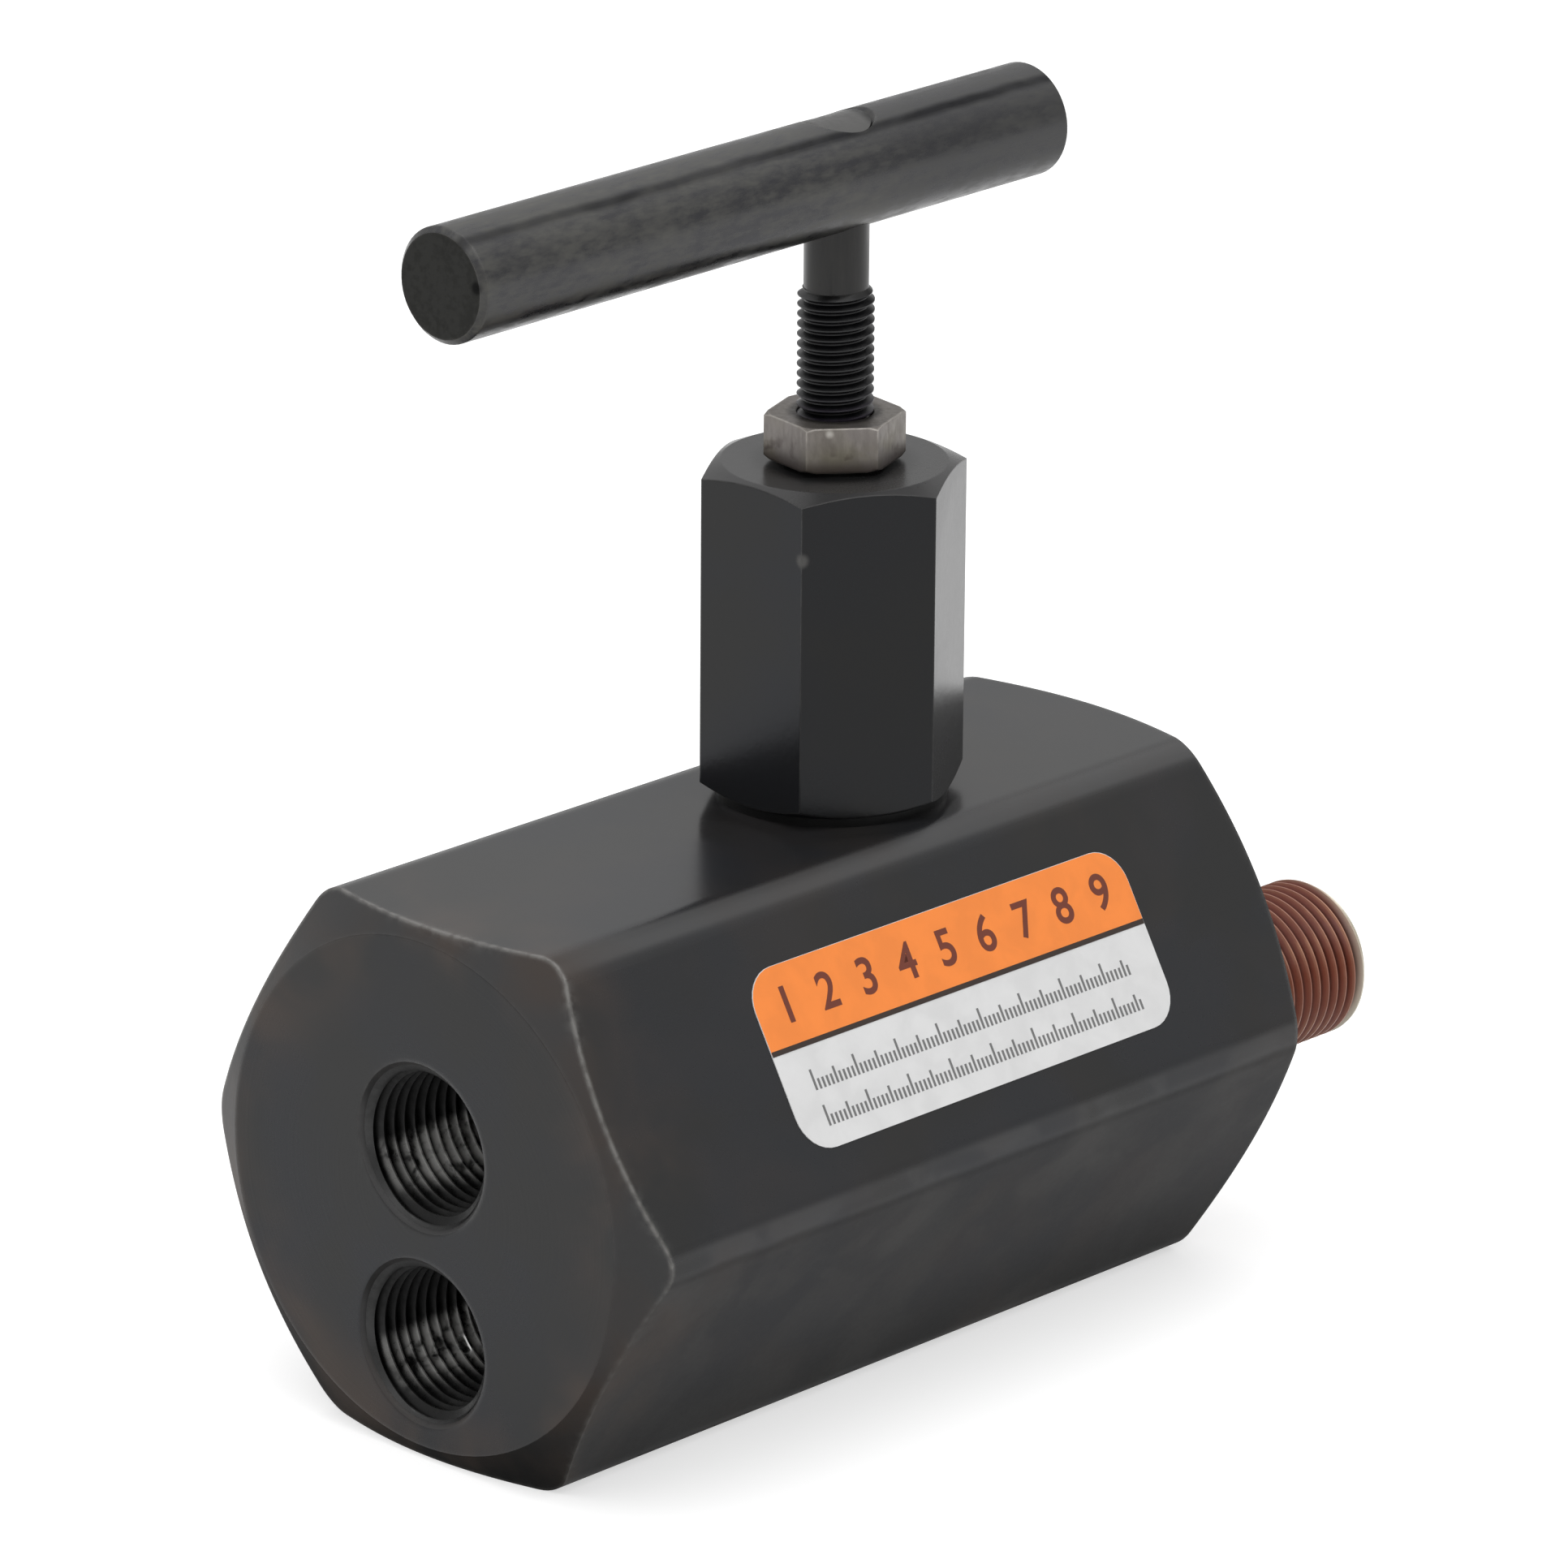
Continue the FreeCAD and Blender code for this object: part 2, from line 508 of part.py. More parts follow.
# Guide bush: guides the stem and seals it from the spring chamber
def make_guide_bush():
    full = "Sizes.cartridge_radius"
    return turned_piece("guide_bush", [
        (stem_hole_radius, bush_bottom), (full, bush_bottom), (full, bush_groove),
        (outer_groove_radius, bush_groove),
        (outer_groove_radius, f"{bush_groove} + {outer_groove_width}"),
        (full, f"{bush_groove} + {outer_groove_width}"), (full, bush_top),
        (stem_hole_radius, bush_top), (stem_hole_radius, f"{stem_groove} + {stem_groove_width}"),
        (stem_groove_radius, f"{stem_groove} + {stem_groove_width}"),
        (stem_groove_radius, stem_groove), (stem_hole_radius, stem_groove)])


# Seals: each round ring sits on the pressure side of its groove, with a square ring behind it
def make_seals():
    for name, groove in (("carrier", carrier_groove), ("guide", bush_groove)):
        seal_ring(f"{name}_o_ring", outer_groove_radius, "Sizes.seal_section", groove)
        ring_piece(f"{name}_backup_ring", outer_groove_radius, "Sizes.cartridge_radius",
                   f"({groove} + Sizes.seal_section)", "Sizes.backup_width")
    seal_ring("stem_o_ring", stem_hole_radius, "Sizes.stem_seal_section", stem_groove)
    ring_piece("stem_backup_ring", stem_hole_radius, stem_groove_radius,
               f"({stem_groove} + Sizes.stem_seal_section)", "Sizes.backup_width")
    ring_piece("bonnet_gasket", "(Sizes.bonnet_thread_radius + Sizes.mouth_chamfer)",
               "Sizes.bonnet_base_radius", top_flat, "Sizes.gasket_height")


# Poppet: 90 degree cone on the seat insert, head that stops against the bush, long stem
def make_poppet():
    nose = "Sizes.poppet_nose_radius"
    head = "Sizes.poppet_head_radius"
    stem = "Sizes.stem_radius"
    lifted = "sqrt(2) * Sizes.seat_gap"
    head_top = f"({bush_bottom} - Sizes.poppet_lift)"
    stem_top = f"({lower_seat_bottom} + Sizes.stem_socket)"
    return turned_piece("poppet", [
        ("0", f"{cone_root} + {nose} + {lifted}"), (nose, f"{cone_root} + {nose} + {lifted}"),
        (head, f"{cone_root} + {head} + {lifted}"), (head, head_top), (stem, head_top),
        (stem, stem_top), ("0", stem_top)])


def make_spring_seats():
    flange = "Sizes.spring_seat_radius"
    pilot = "Sizes.spring_pilot_radius"
    blunt = f"({pilot} - Sizes.pilot_chamfer)"
    stem = "Sizes.stem_radius"
    pilot_top = f"({spring_bottom} + Sizes.spring_pilot_length)"
    socket_top = f"({lower_seat_bottom} + Sizes.stem_socket)"
    turned_piece("lower_spring_seat", [
        ("0", socket_top), (stem, socket_top), (stem, lower_seat_bottom), (flange, lower_seat_bottom),
        (flange, spring_bottom), (pilot, spring_bottom), (pilot, f"{pilot_top} - Sizes.pilot_chamfer"),
        (blunt, pilot_top), ("0", pilot_top)])
    pilot_end = f"({spring_top} - Sizes.spring_pilot_length)"
    upper = turned_piece("upper_spring_seat", [
        ("0", pilot_end), (blunt, pilot_end), (pilot, f"{pilot_end} + Sizes.pilot_chamfer"),
        (pilot, spring_top), (flange, spring_top), (flange, upper_seat_top), ("0", upper_seat_top)])
    cup(upper, "BallCup", "Sizes.thrust_ball_radius", thrust_ball_height)


# Main spring: the helix overruns both ends, and the ends are then ground flat
def make_main_spring():
    wire = "Sizes.spring_wire_radius"
    overrun = f"({wire} / 2)"
    spring = coil("main_spring", wire, "Sizes.spring_coil_radius", f"({spring_bottom} + {overrun})",
                  f"({spring_top} - {overrun})", "Sizes.spring_coils", "Sizes.axis_offset")
    inner = f"(Sizes.spring_coil_radius - 2 * {wire})"
    outer = f"(Sizes.spring_coil_radius + 2 * {wire})"
    grinding = []
    for face, sign in ((spring_bottom, "-"), (spring_top, "+")):
        beyond = f"({face} {sign} 2 * {wire})"
        grinding.append([(inner, face), (outer, face), (outer, beyond), (inner, beyond)])
    turn(spring, "GroundEnds", grinding, cut=True)
    return spring


def make_check_valve():
    along = "(Sizes.axis_offset - Sizes.check_offset)"
    ball_piece("check_ball", "Sizes.check_ball_radius", along, check_ball_height)
    wire = "Sizes.check_wire_radius"
    reach = "sqrt(pow(Sizes.check_ball_radius + 2 * Sizes.check_wire_radius; 2)" \
            " - pow(Sizes.check_coil_radius; 2))"
    coil("check_spring", wire, "Sizes.check_coil_radius", f"({retainer_top} + {wire})",
         f"({check_ball_height} - {reach})", "Sizes.check_coils", along)
    body = new_body("check_retainer")
    turn(body, "Ring", [[("Sizes.retainer_hole_radius", carrier_bottom),
                         ("Sizes.check_bore_radius", carrier_bottom),
                         ("Sizes.check_bore_radius", retainer_top),
                         ("Sizes.retainer_hole_radius", retainer_top)]])
    place(body, along=along)


# Adjusting screw: cupped end on the thrust ball, thread, then a plain neck riveted in the handle
def make_screw():
    thread = "Sizes.screw_radius"
    neck = "Sizes.neck_radius"
    tip = f"({thread} - Sizes.screw_lead)"
    screw = turned_piece("adjusting_screw", [
        ("0", screw_bottom), (tip, screw_bottom), (thread, f"{screw_bottom} + Sizes.screw_lead"),
        (thread, thread_top), (neck, f"{thread_top} + {thread} - {neck}"), (neck, screw_top),
        ("0", screw_top)])
    cup(screw, "BallCup", "(Sizes.thrust_ball_radius + Sizes.ball_fit)", thrust_ball_height)


def make_jam_nut():
    turned_end = ("Sizes.nut_face_radius", "Sizes.nut_chamfer_angle")
    nut = hexagon_post("jam_nut", "Sizes.nut_flats", nut_bottom, "Sizes.nut_height",
                       turned_end, turned_end)
    hole = "(Sizes.screw_radius + Sizes.screw_fit)"
    recess_top = f"({nut_bottom} + Sizes.nut_seal_height)"
    turn(nut, "ThreadAndRecess",
         [[("0", nut_bottom), ("Sizes.nut_seal_radius", nut_bottom),
           ("Sizes.nut_seal_radius", recess_top), (hole, recess_top), (hole, nut_top),
           ("0", nut_top)]], cut=True)
    nut.Placement.Rotation = FreeCAD.Rotation(FreeCAD.Vector(0, 0, 1), size("nut_turn"))
    ring_piece("nut_seal_ring", "(Sizes.screw_radius + 2 * Sizes.nut_seal_fit)",
               "(Sizes.nut_seal_radius - Sizes.nut_seal_fit)", hexagon_top,
               "(Sizes.nut_gap + Sizes.nut_seal_height - Sizes.nut_seal_fit)")


# Handle: plain round bar, its hole off centre, drawn about the screw's axis
def make_handle():
    body = new_body("t_handle")
    start = "(-Sizes.handle_shift - Sizes.handle_length / 2)"
    finish = "(-Sizes.handle_shift + Sizes.handle_length / 2)"
    bar = "Sizes.handle_radius"
    lead = "Sizes.handle_chamfer"
    turn(body, "Bar", [[(start, "0"), (start, f"{bar} - {lead}"), (f"{start} + {lead}", bar),
                        (f"{finish} - {lead}", bar), (finish, f"{bar} - {lead}"), (finish, "0")]],
         axis="H_Axis")
    neck = "Sizes.neck_radius"
    turn(body, "NeckHole",
         [[("0", f"-{bar} - 1"), (neck, f"-{bar} - 1"), (neck, f"{bar} - 2 * Sizes.rivet_sink"),
           (f"{neck} + 2 * Sizes.rivet_sink", f"{bar}"), (f"{neck} + 2 * Sizes.rivet_sink", f"{bar} + 1"),
           ("0", f"{bar} + 1")]], cut=True)
    place(body, height=handle_height)
    body.Placement.Rotation = FreeCAD.Rotation(FreeCAD.Vector(0, 0, 1), size("handle_yaw"))
    return body


make_valve_body()
make_nipple()
make_bonnet()
make_seat_carrier()
make_seat_insert()
make_guide_bush()
make_seals()
make_poppet()
make_spring_seats()
make_main_spring()
make_check_valve()
ball_piece("thrust_ball", "Sizes.thrust_ball_radius", "Sizes.axis_offset", thrust_ball_height)
make_screw()
make_jam_nut()
make_handle()
doc.recompute()

# Every object has to be sound, and every cut has to take something away
for item in doc.Objects:
    if "Invalid" in item.State or "Error" in item.State:
        raise RuntimeError(f"{item.Label} failed: {item.State}")
    cuts = item.TypeId in ("PartDesign::Groove", "PartDesign::Pocket",
                           "PartDesign::SubtractiveCylinder", "PartDesign::SubtractiveSphere")
    if cuts and item.Shape.Volume > item.BaseFeature.Shape.Volume - 0.001:
        raise RuntimeError(f"{item.Label} cuts nothing")

pieces = [item for item in doc.Objects if item.TypeId in ("PartDesign::Body", "Part::Sphere")]
for piece in pieces:
    if piece.Shape.isNull() or not piece.Shape.isValid() or len(piece.Shape.Solids) != 1:
        raise RuntimeError(f"{piece.Label} is not one valid solid")

os.makedirs("parts", exist_ok=True)
for piece in pieces:
    piece.Shape.exportStep(f"parts/{piece.Label}.step")
    print(piece.Label, round(piece.Shape.Volume, 1), "mm3")
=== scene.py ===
import json
import math

import bmesh
import bpy
from mathutils import Matrix, Vector


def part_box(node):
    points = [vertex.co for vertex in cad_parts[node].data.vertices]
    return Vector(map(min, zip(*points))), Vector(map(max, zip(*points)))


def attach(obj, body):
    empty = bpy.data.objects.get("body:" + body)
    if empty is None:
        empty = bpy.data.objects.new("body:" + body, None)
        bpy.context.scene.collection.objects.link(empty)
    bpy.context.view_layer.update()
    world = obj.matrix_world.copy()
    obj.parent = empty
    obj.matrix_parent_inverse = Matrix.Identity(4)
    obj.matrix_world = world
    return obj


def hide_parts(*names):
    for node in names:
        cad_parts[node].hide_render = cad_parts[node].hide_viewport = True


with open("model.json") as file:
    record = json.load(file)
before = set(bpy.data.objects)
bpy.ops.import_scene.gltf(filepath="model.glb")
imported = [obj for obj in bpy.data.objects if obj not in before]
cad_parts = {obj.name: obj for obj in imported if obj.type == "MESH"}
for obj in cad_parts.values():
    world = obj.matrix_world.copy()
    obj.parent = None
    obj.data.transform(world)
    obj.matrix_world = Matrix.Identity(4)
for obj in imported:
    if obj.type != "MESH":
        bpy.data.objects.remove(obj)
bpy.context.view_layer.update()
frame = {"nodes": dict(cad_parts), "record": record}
nodes = frame["nodes"]
mm = 0.001
scene = bpy.context.scene
scene.view_settings.view_transform = "Standard"

# Places read from the frame
bodyLow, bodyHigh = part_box("valve_body")
barMiddle = (bodyLow.z + bodyHigh.z) / 2
nearEnd = bodyLow.x
farEnd = bodyHigh.x
screwLow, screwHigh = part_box("adjusting_screw")
handleLow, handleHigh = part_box("t_handle")
bonnetLow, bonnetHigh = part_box("bonnet")
nutLow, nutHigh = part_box("jam_nut")
nippleLow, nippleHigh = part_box("port_nipple")
nippleEnd = nippleHigh.x
handleRadius = (handleHigh.z - handleLow.z) / 2
handleHeight = (handleHigh.z + handleLow.z) / 2
valveAxis = (screwLow.x + screwHigh.x) / 2
mounts = {mount["name"]: mount for mount in frame["record"]["mounts"]}
nipplePlace = Vector(mounts["nipple"]["pos_m"])


# Camera at the photograph's viewing angle
cameraValues = {
    "heading": -46.549,  # degrees round the upright axis
    "elevation": 19.111,
    "roll": 0.454,
    "distance": 1036.2 * mm,
    "slideRight": 1.693 * mm,
    "slideUp": 2.780 * mm,
    "lens": 231.28,
    "sensor": 36.0,
}


def makeCamera():
    values = cameraValues
    heading = math.radians(values["heading"])
    elevation = math.radians(values["elevation"])
    roll = math.radians(values["roll"])
    back = Vector((math.sin(heading) * math.cos(elevation),
                   -math.cos(heading) * math.cos(elevation), math.sin(elevation)))
    right = Vector((math.cos(heading), math.sin(heading), 0))
    up = back.cross(right)
    target = Vector((0, 0, bodyHigh.z))
    place = target + right * values["slideRight"] + up * values["slideUp"] + back * values["distance"]
    side = right * math.cos(roll) + up * math.sin(roll)
    top = up * math.cos(roll) - right * math.sin(roll)
    data = bpy.data.cameras.new("camera")
    data.lens = values["lens"]
    data.sensor_width = values["sensor"]
    data.sensor_height = values["sensor"]
    data.clip_end = 20
    camera = bpy.data.objects.new("camera", data)
    turn = Matrix((side, top, back)).transposed().to_4x4()
    camera.matrix_world = Matrix.Translation(place) @ turn
    scene.collection.objects.link(camera)
    scene.camera = camera


makeCamera()
print("camera set")


# Small helpers for node trees; a value is a number, a colour, a vector or a socket
def join(source, target):
    source.id_data.links.new(source, target)


def feed(value, socket):
    if isinstance(value, bpy.types.NodeSocket):
        join(value, socket)
    elif socket.type == "RGBA":
        socket.default_value = (*value, 1)
    else:
        socket.default_value = value


def addNode(tree, kind, inputs=None, **settings):
    node = tree.nodes.new(kind)
    for name, value in settings.items():
        setattr(node, name, value)
    for name, value in (inputs or {}).items():
        feed(value, node.inputs[name])
    return node


def mathNode(operation, first, second=None, clamp=False):
    tree = (first if isinstance(first, bpy.types.NodeSocket) else second).id_data
    node = addNode(tree, "ShaderNodeMath", operation=operation, use_clamp=clamp)
    feed(first, node.inputs[0])
    if second is not None:
        feed(second, node.inputs[1])
    return node.outputs[0]


def times(first, second, clamp=False):
    return mathNode("MULTIPLY", first, second, clamp)


def plus(first, second, clamp=False):
    return mathNode("ADD", first, second, clamp)


def minus(first, second, clamp=False):
    return mathNode("SUBTRACT", first, second, clamp)


def larger(first, second):
    return mathNode("MAXIMUM", first, second)


def absolute(value):
    return mathNode("ABSOLUTE", value)


def vectorMath(operation, first, second=None):
    node = addNode(first.id_data, "ShaderNodeVectorMath", operation=operation)
    feed(first, node.inputs[0])
    if second is not None:
        feed(second, node.inputs[1])
    isNumber = operation in ("DOT_PRODUCT", "DISTANCE", "LENGTH")
    return node.outputs["Value" if isNumber else "Vector"]


def ramp(value, low, high, lowOut=0.0, highOut=1.0):
    # smooth change from lowOut at low to highOut at high
    inputs = {"Value": value, "From Min": low, "From Max": high, "To Min": lowOut, "To Max": highOut}
    node = addNode(value.id_data, "ShaderNodeMapRange", inputs, interpolation_type="SMOOTHSTEP")
    return node.outputs["Result"]


def fade(value, low, high, lowOut=1.0):
    return ramp(value, low, high, lowOut, 0.0)


def rampFrom(value, start, span, lowOut=0.0, highOut=1.0):
    # the same over a span of two distances, in mm from a start
    low, high = span
    return ramp(value, start + low * mm, start + high * mm, lowOut, highOut)


def fadeFrom(value, start, span, lowOut=1.0):
    return rampFrom(value, start, span, lowOut, 0.0)


def mix(factor, first, second):
    node = addNode(factor.id_data, "ShaderNodeMix", data_type="RGBA")
    colours = [socket for socket in node.inputs if socket.type == "RGBA"]
    for value, socket in zip((factor, first, second), (node.inputs[0], *colours)):
        feed(value, socket)
    return [socket for socket in node.outputs if socket.type == "RGBA"][0]


def parts(vector):
    return addNode(vector.id_data, "ShaderNodeSeparateXYZ", {"Vector": vector}).outputs


def objectPlace(tree):
    return addNode(tree, "ShaderNodeTexCoord").outputs["Object"]


def surfaceNormal(tree):
    return addNode(tree, "ShaderNodeNewGeometry").outputs["Normal"]


def spotAt(tree, point, radii, strength=1.0):
    # full within the first radius of a point and gone beyond the second, in mm
    return fadeFrom(vectorMath("DISTANCE", objectPlace(tree), point), 0, radii, strength)


numberSocket = "NodeSocketFloat"
vectorSocket = "NodeSocketVector"


def newGroup(name, inputs, outputs):
    group = bpy.data.node_groups.new(name, "ShaderNodeTree")
    for label, kind, value in inputs:
        group.interface.new_socket(name=label, in_out="INPUT", socket_type=kind).default_value = value
    for label, kind in outputs:
        group.interface.new_socket(name=label, in_out="OUTPUT", socket_type=kind)
    return group, addNode(group, "NodeGroupInput").outputs, addNode(group, "NodeGroupOutput").inputs


# Worn edges: where the surface turns within a small radius, broken up by noise
def makeEdgeWear():
    group, given, result = newGroup(
        "edgeWear",
        [("Radius", numberSocket, 0.4 * mm), ("Gain", numberSocket, 6.0), ("Breakup", numberSocket, 0.6)],
        [("Mask", numberSocket), ("Normal", vectorSocket)])
    softened = addNode(group, "ShaderNodeBevel", {"Radius": given["Radius"]}, samples=6).outputs["Normal"]
    turned = minus(1.0, vectorMath("DOT_PRODUCT", softened, surfaceNormal(group)), clamp=True)
    gained = times(turned, given["Gain"], clamp=True)
    noise = addNode(group, "ShaderNodeTexNoise", {"Vector": objectPlace(group), "Scale": 900, "Detail": 4})
    broken = ramp(noise.outputs["Fac"], 0.35, 0.62)
    share = plus(times(broken, given["Breakup"]), minus(1.0, given["Breakup"]))
    join(times(gained, share, clamp=True), result["Mask"])
    join(softened, result["Normal"])
    return group


# Grain: fine noise, stretched the way the surface was drawn or ground
def makeGrain():
    group, given, result = newGroup(
        "grain",
        [("Scale", numberSocket, 600.0), ("Stretch", vectorSocket, (1, 1, 1)),
         ("Contrast", numberSocket, 1.0)],
        [("Value", numberSocket)])
    place = vectorMath("MULTIPLY", objectPlace(group), given["Stretch"])
    inputs = {"Vector": place, "Scale": given["Scale"], "Detail": 5, "Roughness": 0.6}
    noise = addNode(group, "ShaderNodeTexNoise", inputs)
    spread = times(minus(noise.outputs["Fac"], 0.5), given["Contrast"])
    join(plus(spread, 0.5, clamp=True), result["Value"])
    return group


# Clouding: slow change of tone over a surface
def makeClouding():
    group, given, result = newGroup(
        "clouding",
        [("Scale", numberSocket, 60.0), ("Low", numberSocket, 0.35), ("High", numberSocket, 0.65),
         ("Shift", vectorSocket, (0, 0, 0))],
        [("Value", numberSocket)])
    place = vectorMath("ADD", objectPlace(group), given["Shift"])
    inputs = {"Vector": place, "Scale": given["Scale"], "Detail": 3, "Distortion": 0.4}
    noise = addNode(group, "ShaderNodeTexNoise", inputs)
    join(ramp(noise.outputs["Fac"], given["Low"], given["High"]), result["Value"])
    return group


# Turning marks: fine rings round an axis through a centre
def makeTurningMarks():
    group, given, result = newGroup(
        "turningMarks",
        [("Centre", vectorSocket, (0, 0, 0)), ("Along", vectorSocket, (1, 0, 0)),
         ("Pitch", numberSocket, 0.3 * mm)],
        [("Value", numberSocket), ("Radius", numberSocket)])
    place = vectorMath("SUBTRACT", objectPlace(group), given["Centre"])
    radius = vectorMath("LENGTH", vectorMath("CROSS_PRODUCT", place, given["Along"]))
    inputs = {"W": mathNode("DIVIDE", radius, given["Pitch"]), "Scale": 1.0, "Detail": 2}
    noise = addNode(group, "ShaderNodeTexNoise", inputs, noise_dimensions="1D")
    join(noise.outputs["Fac"], result["Value"])
    join(radius, result["Radius"])
    return group


edgeWear = makeEdgeWear()
grain = makeGrain()
clouding = makeClouding()
turningMarks = makeTurningMarks()


def useGroup(tree, group, **values):
    return addNode(tree, "ShaderNodeGroup", values, node_tree=group).outputs


def wornEdges(tree, radius, gain, breakup):
    return useGroup(tree, edgeWear, Radius=radius, Gain=gain, Breakup=breakup)


def grains(tree, scale, contrast, stretch=(1, 1, 1)):
    return useGroup(tree, grain, Scale=scale, Stretch=stretch, Contrast=contrast)["Value"]


def clouds(tree, scale, low, high, shift=(0, 0, 0)):
    return useGroup(tree, clouding, Scale=scale, Low=low, High=high, Shift=shift)["Value"]


def ringsRound(tree, centre, pitch, along=(1, 0, 0)):
    return useGroup(tree, turningMarks, Centre=centre, Along=along, Pitch=pitch)


def newMaterial(name, metallic=0.0, roughness=0.4, specular=0.5):
    material = bpy.data.materials.new(name)
    material.use_nodes = True
    tree = material.node_tree
    shader = tree.nodes["Principled BSDF"]
    shader.inputs["Metallic"].default_value = metallic
    shader.inputs["Roughness"].default_value = roughness
    shader.inputs["Specular IOR Level"].default_value = specular
    return material, tree, shader


def dress(shader, colour, roughness, metallic=None):
    # what changes over the surface
    join(colour, shader.inputs["Base Color"])
    join(roughness, shader.inputs["Roughness"])
    if metallic is not None:
        join(metallic, shader.inputs["Metallic"])


def addBump(shader, height, strength, distance, normal=None):
    inputs = {"Strength": strength, "Distance": distance, "Height": height}
    if normal is not None:
        inputs["Normal"] = normal
    bump = addNode(shader.id_data, "ShaderNodeBump", inputs)
    join(bump.outputs["Normal"], shader.inputs["Normal"])


# Black oxide on machined steel, on the body and the bonnet
oxideValues = {
    "cool": (0.020, 0.021, 0.024),
    "neutral": (0.021, 0.021, 0.021),
    "worn": (0.22, 0.215, 0.205),
    "paintedShade": (0.007, 0.007, 0.007),  # dark colour of painted shade
    "metallic": (0.70, 0.25),  # on faces that look down and up
    "dryRoughness": 0.40,  # added on faces that look down, where the oil has gone
    "oiledRoughness": -0.05,  # added on faces that look up
    "grainRoughness": 0.05,
    "grainStrength": 0.35,
    "grainDepth": 0.02 * mm,
}


def startOxide(name, piece):
    # what both finishes share: tone, grain, worn edges and the dry undersides
    values = oxideValues
    material, tree, shader = newMaterial(name, specular=piece["specular"])
    slow = clouds(tree, 55, 0.36, 0.66)
    colour = mix(slow, values["neutral"], values["cool"])
    wear = wornEdges(tree, piece["wearRadius"], piece["wearGain"], 0.5)
    fine = grains(tree, 1500, 1.4)
    normal = surfaceNormal(tree)
    upward = parts(normal)["Z"]
    join(ramp(upward, -0.25, 0.5, *values["metallic"]), shader.inputs["Metallic"])
    dry = fade(upward, -0.4, -0.1, values["dryRoughness"])
    oiled = ramp(upward, 0.8, 0.98, 0.0, values["oiledRoughness"])
    rough = plus(ramp(slow, 0, 1, *piece["roughness"]), plus(dry, oiled))
    rough = plus(rough, times(fine, values["grainRoughness"]))
    return material, tree, shader, colour, rough, fine, wear, normal


bonnetValues = {
    "specular": 0.36,
    "roughness": (0.14, 0.18),
    "wearRadius": 0.3 * mm,
    "wearGain": 6.0,
    "wear": 0.4,
    # painted light: a lighter colour on the top
    "top": (0.045, 0.0445, 0.045),
    "topRoughness": 0.12,  # added on the top
    "paintedFlatShade": 0.6,  # painted shade: how much darker the four slanted flats are
    "flatRoughness": 0.06,
    "darkTone": 0.8,  # painted shade: black ring round the nut's foot
    "darkRingRadius": (7.0, 9.5),  # mm from the screw's axis
    "paintedGlint": (0.064, 0.063, 0.061),  # painted highlight: small glint on the front edge
    "paintedGlintDrop": 6.6,  # mm down that edge
    "paintedGlintRadius": (0.3, 1.0),
}


def makeBonnetOxide():
    values = bonnetValues
    material, tree, shader, colour, rough, fine, wear, normal = startOxide("bonnetOxide", values)
    colour = mix(times(wear["Mask"], values["wear"]), colour, oxideValues["worn"])
    facing = parts(normal)
    # painted light: faces looking up get the lighter top colour
    top = ramp(facing["Z"], 0.3, 0.8)
    colour = mix(top, colour, values["top"])
    # painted shade on the four slanted flats
    flats = ramp(absolute(facing["Y"]), 0.5, 0.8)
    colour = mix(times(flats, values["paintedFlatShade"]), colour, oxideValues["paintedShade"])
    # painted shade: a black ring round the nut's foot
    axis = ringsRound(tree, (valveAxis, 0, 0), 0.2 * mm, (0, 0, 1))
    nutShade = fadeFrom(axis["Radius"], 0, values["darkRingRadius"], values["darkTone"])
    colour = mix(nutShade, colour, oxideValues["paintedShade"])
    # painted highlight: a small glint on the front edge
    paintedGlint = Vector((bonnetLow.x, bonnetLow.y / 2, bonnetHigh.z - values["paintedGlintDrop"] * mm))
    colour = mix(spotAt(tree, paintedGlint, values["paintedGlintRadius"]), colour, values["paintedGlint"])
    rough = plus(rough, times(top, values["topRoughness"]))
    rough = plus(rough, times(flats, values["flatRoughness"]))
    dress(shader, colour, rough)
    addBump(shader, fine, oxideValues["grainStrength"], oxideValues["grainDepth"], wear["Normal"])
    return material


bodyValues = {
    "specular": 0.46,
    "roughness": (0.21, 0.26),
    "wearRadius": 0.8 * mm,
    "wearGain": 32.0,
    "paleTone": (0.065, 0.065, 0.066),  # the long rounded edges: rubbed wear, and a painted highlight along the rounding
    "rubbedRoughness": 0.25,
    "turned": (0.036, 0.0355, 0.036),  # chamfers of the ends, painted paler to offset their darker shading
    "turnedRoughness": 0.3,
    "smearsAndReflection": (0.045, 0.0435, 0.0425),  # pale smears on the undersides, with a painted reflection that grows paler upwards
    "paleStart": 6 * mm,  # above the bottom flat
    "paintedShadeHeight": (1, 14),  # mm above the bottom flat
    "brown": (0.050, 0.037, 0.030),  # bloom towards the rim of the near end
    "brownRadius": (17, 29),  # mm from the bar's middle
    "brownDepth": (0, 14),  # mm from the near end
    "wornDepth": (8, 30),  # mm from the near end
    "wornRadius": (27.5, 28.5),  # mm from the bar's middle
    "wornHeight": (-4, 1),  # mm above the bar's middle
    "haloRadius": 2.4 * mm,  # wider, patchy wear round the corners
    "haloGain": 12.0,
    "halo": 0.35,
    "markDepth": (1, 7),  # turning marks end here, in mm from the near end
}


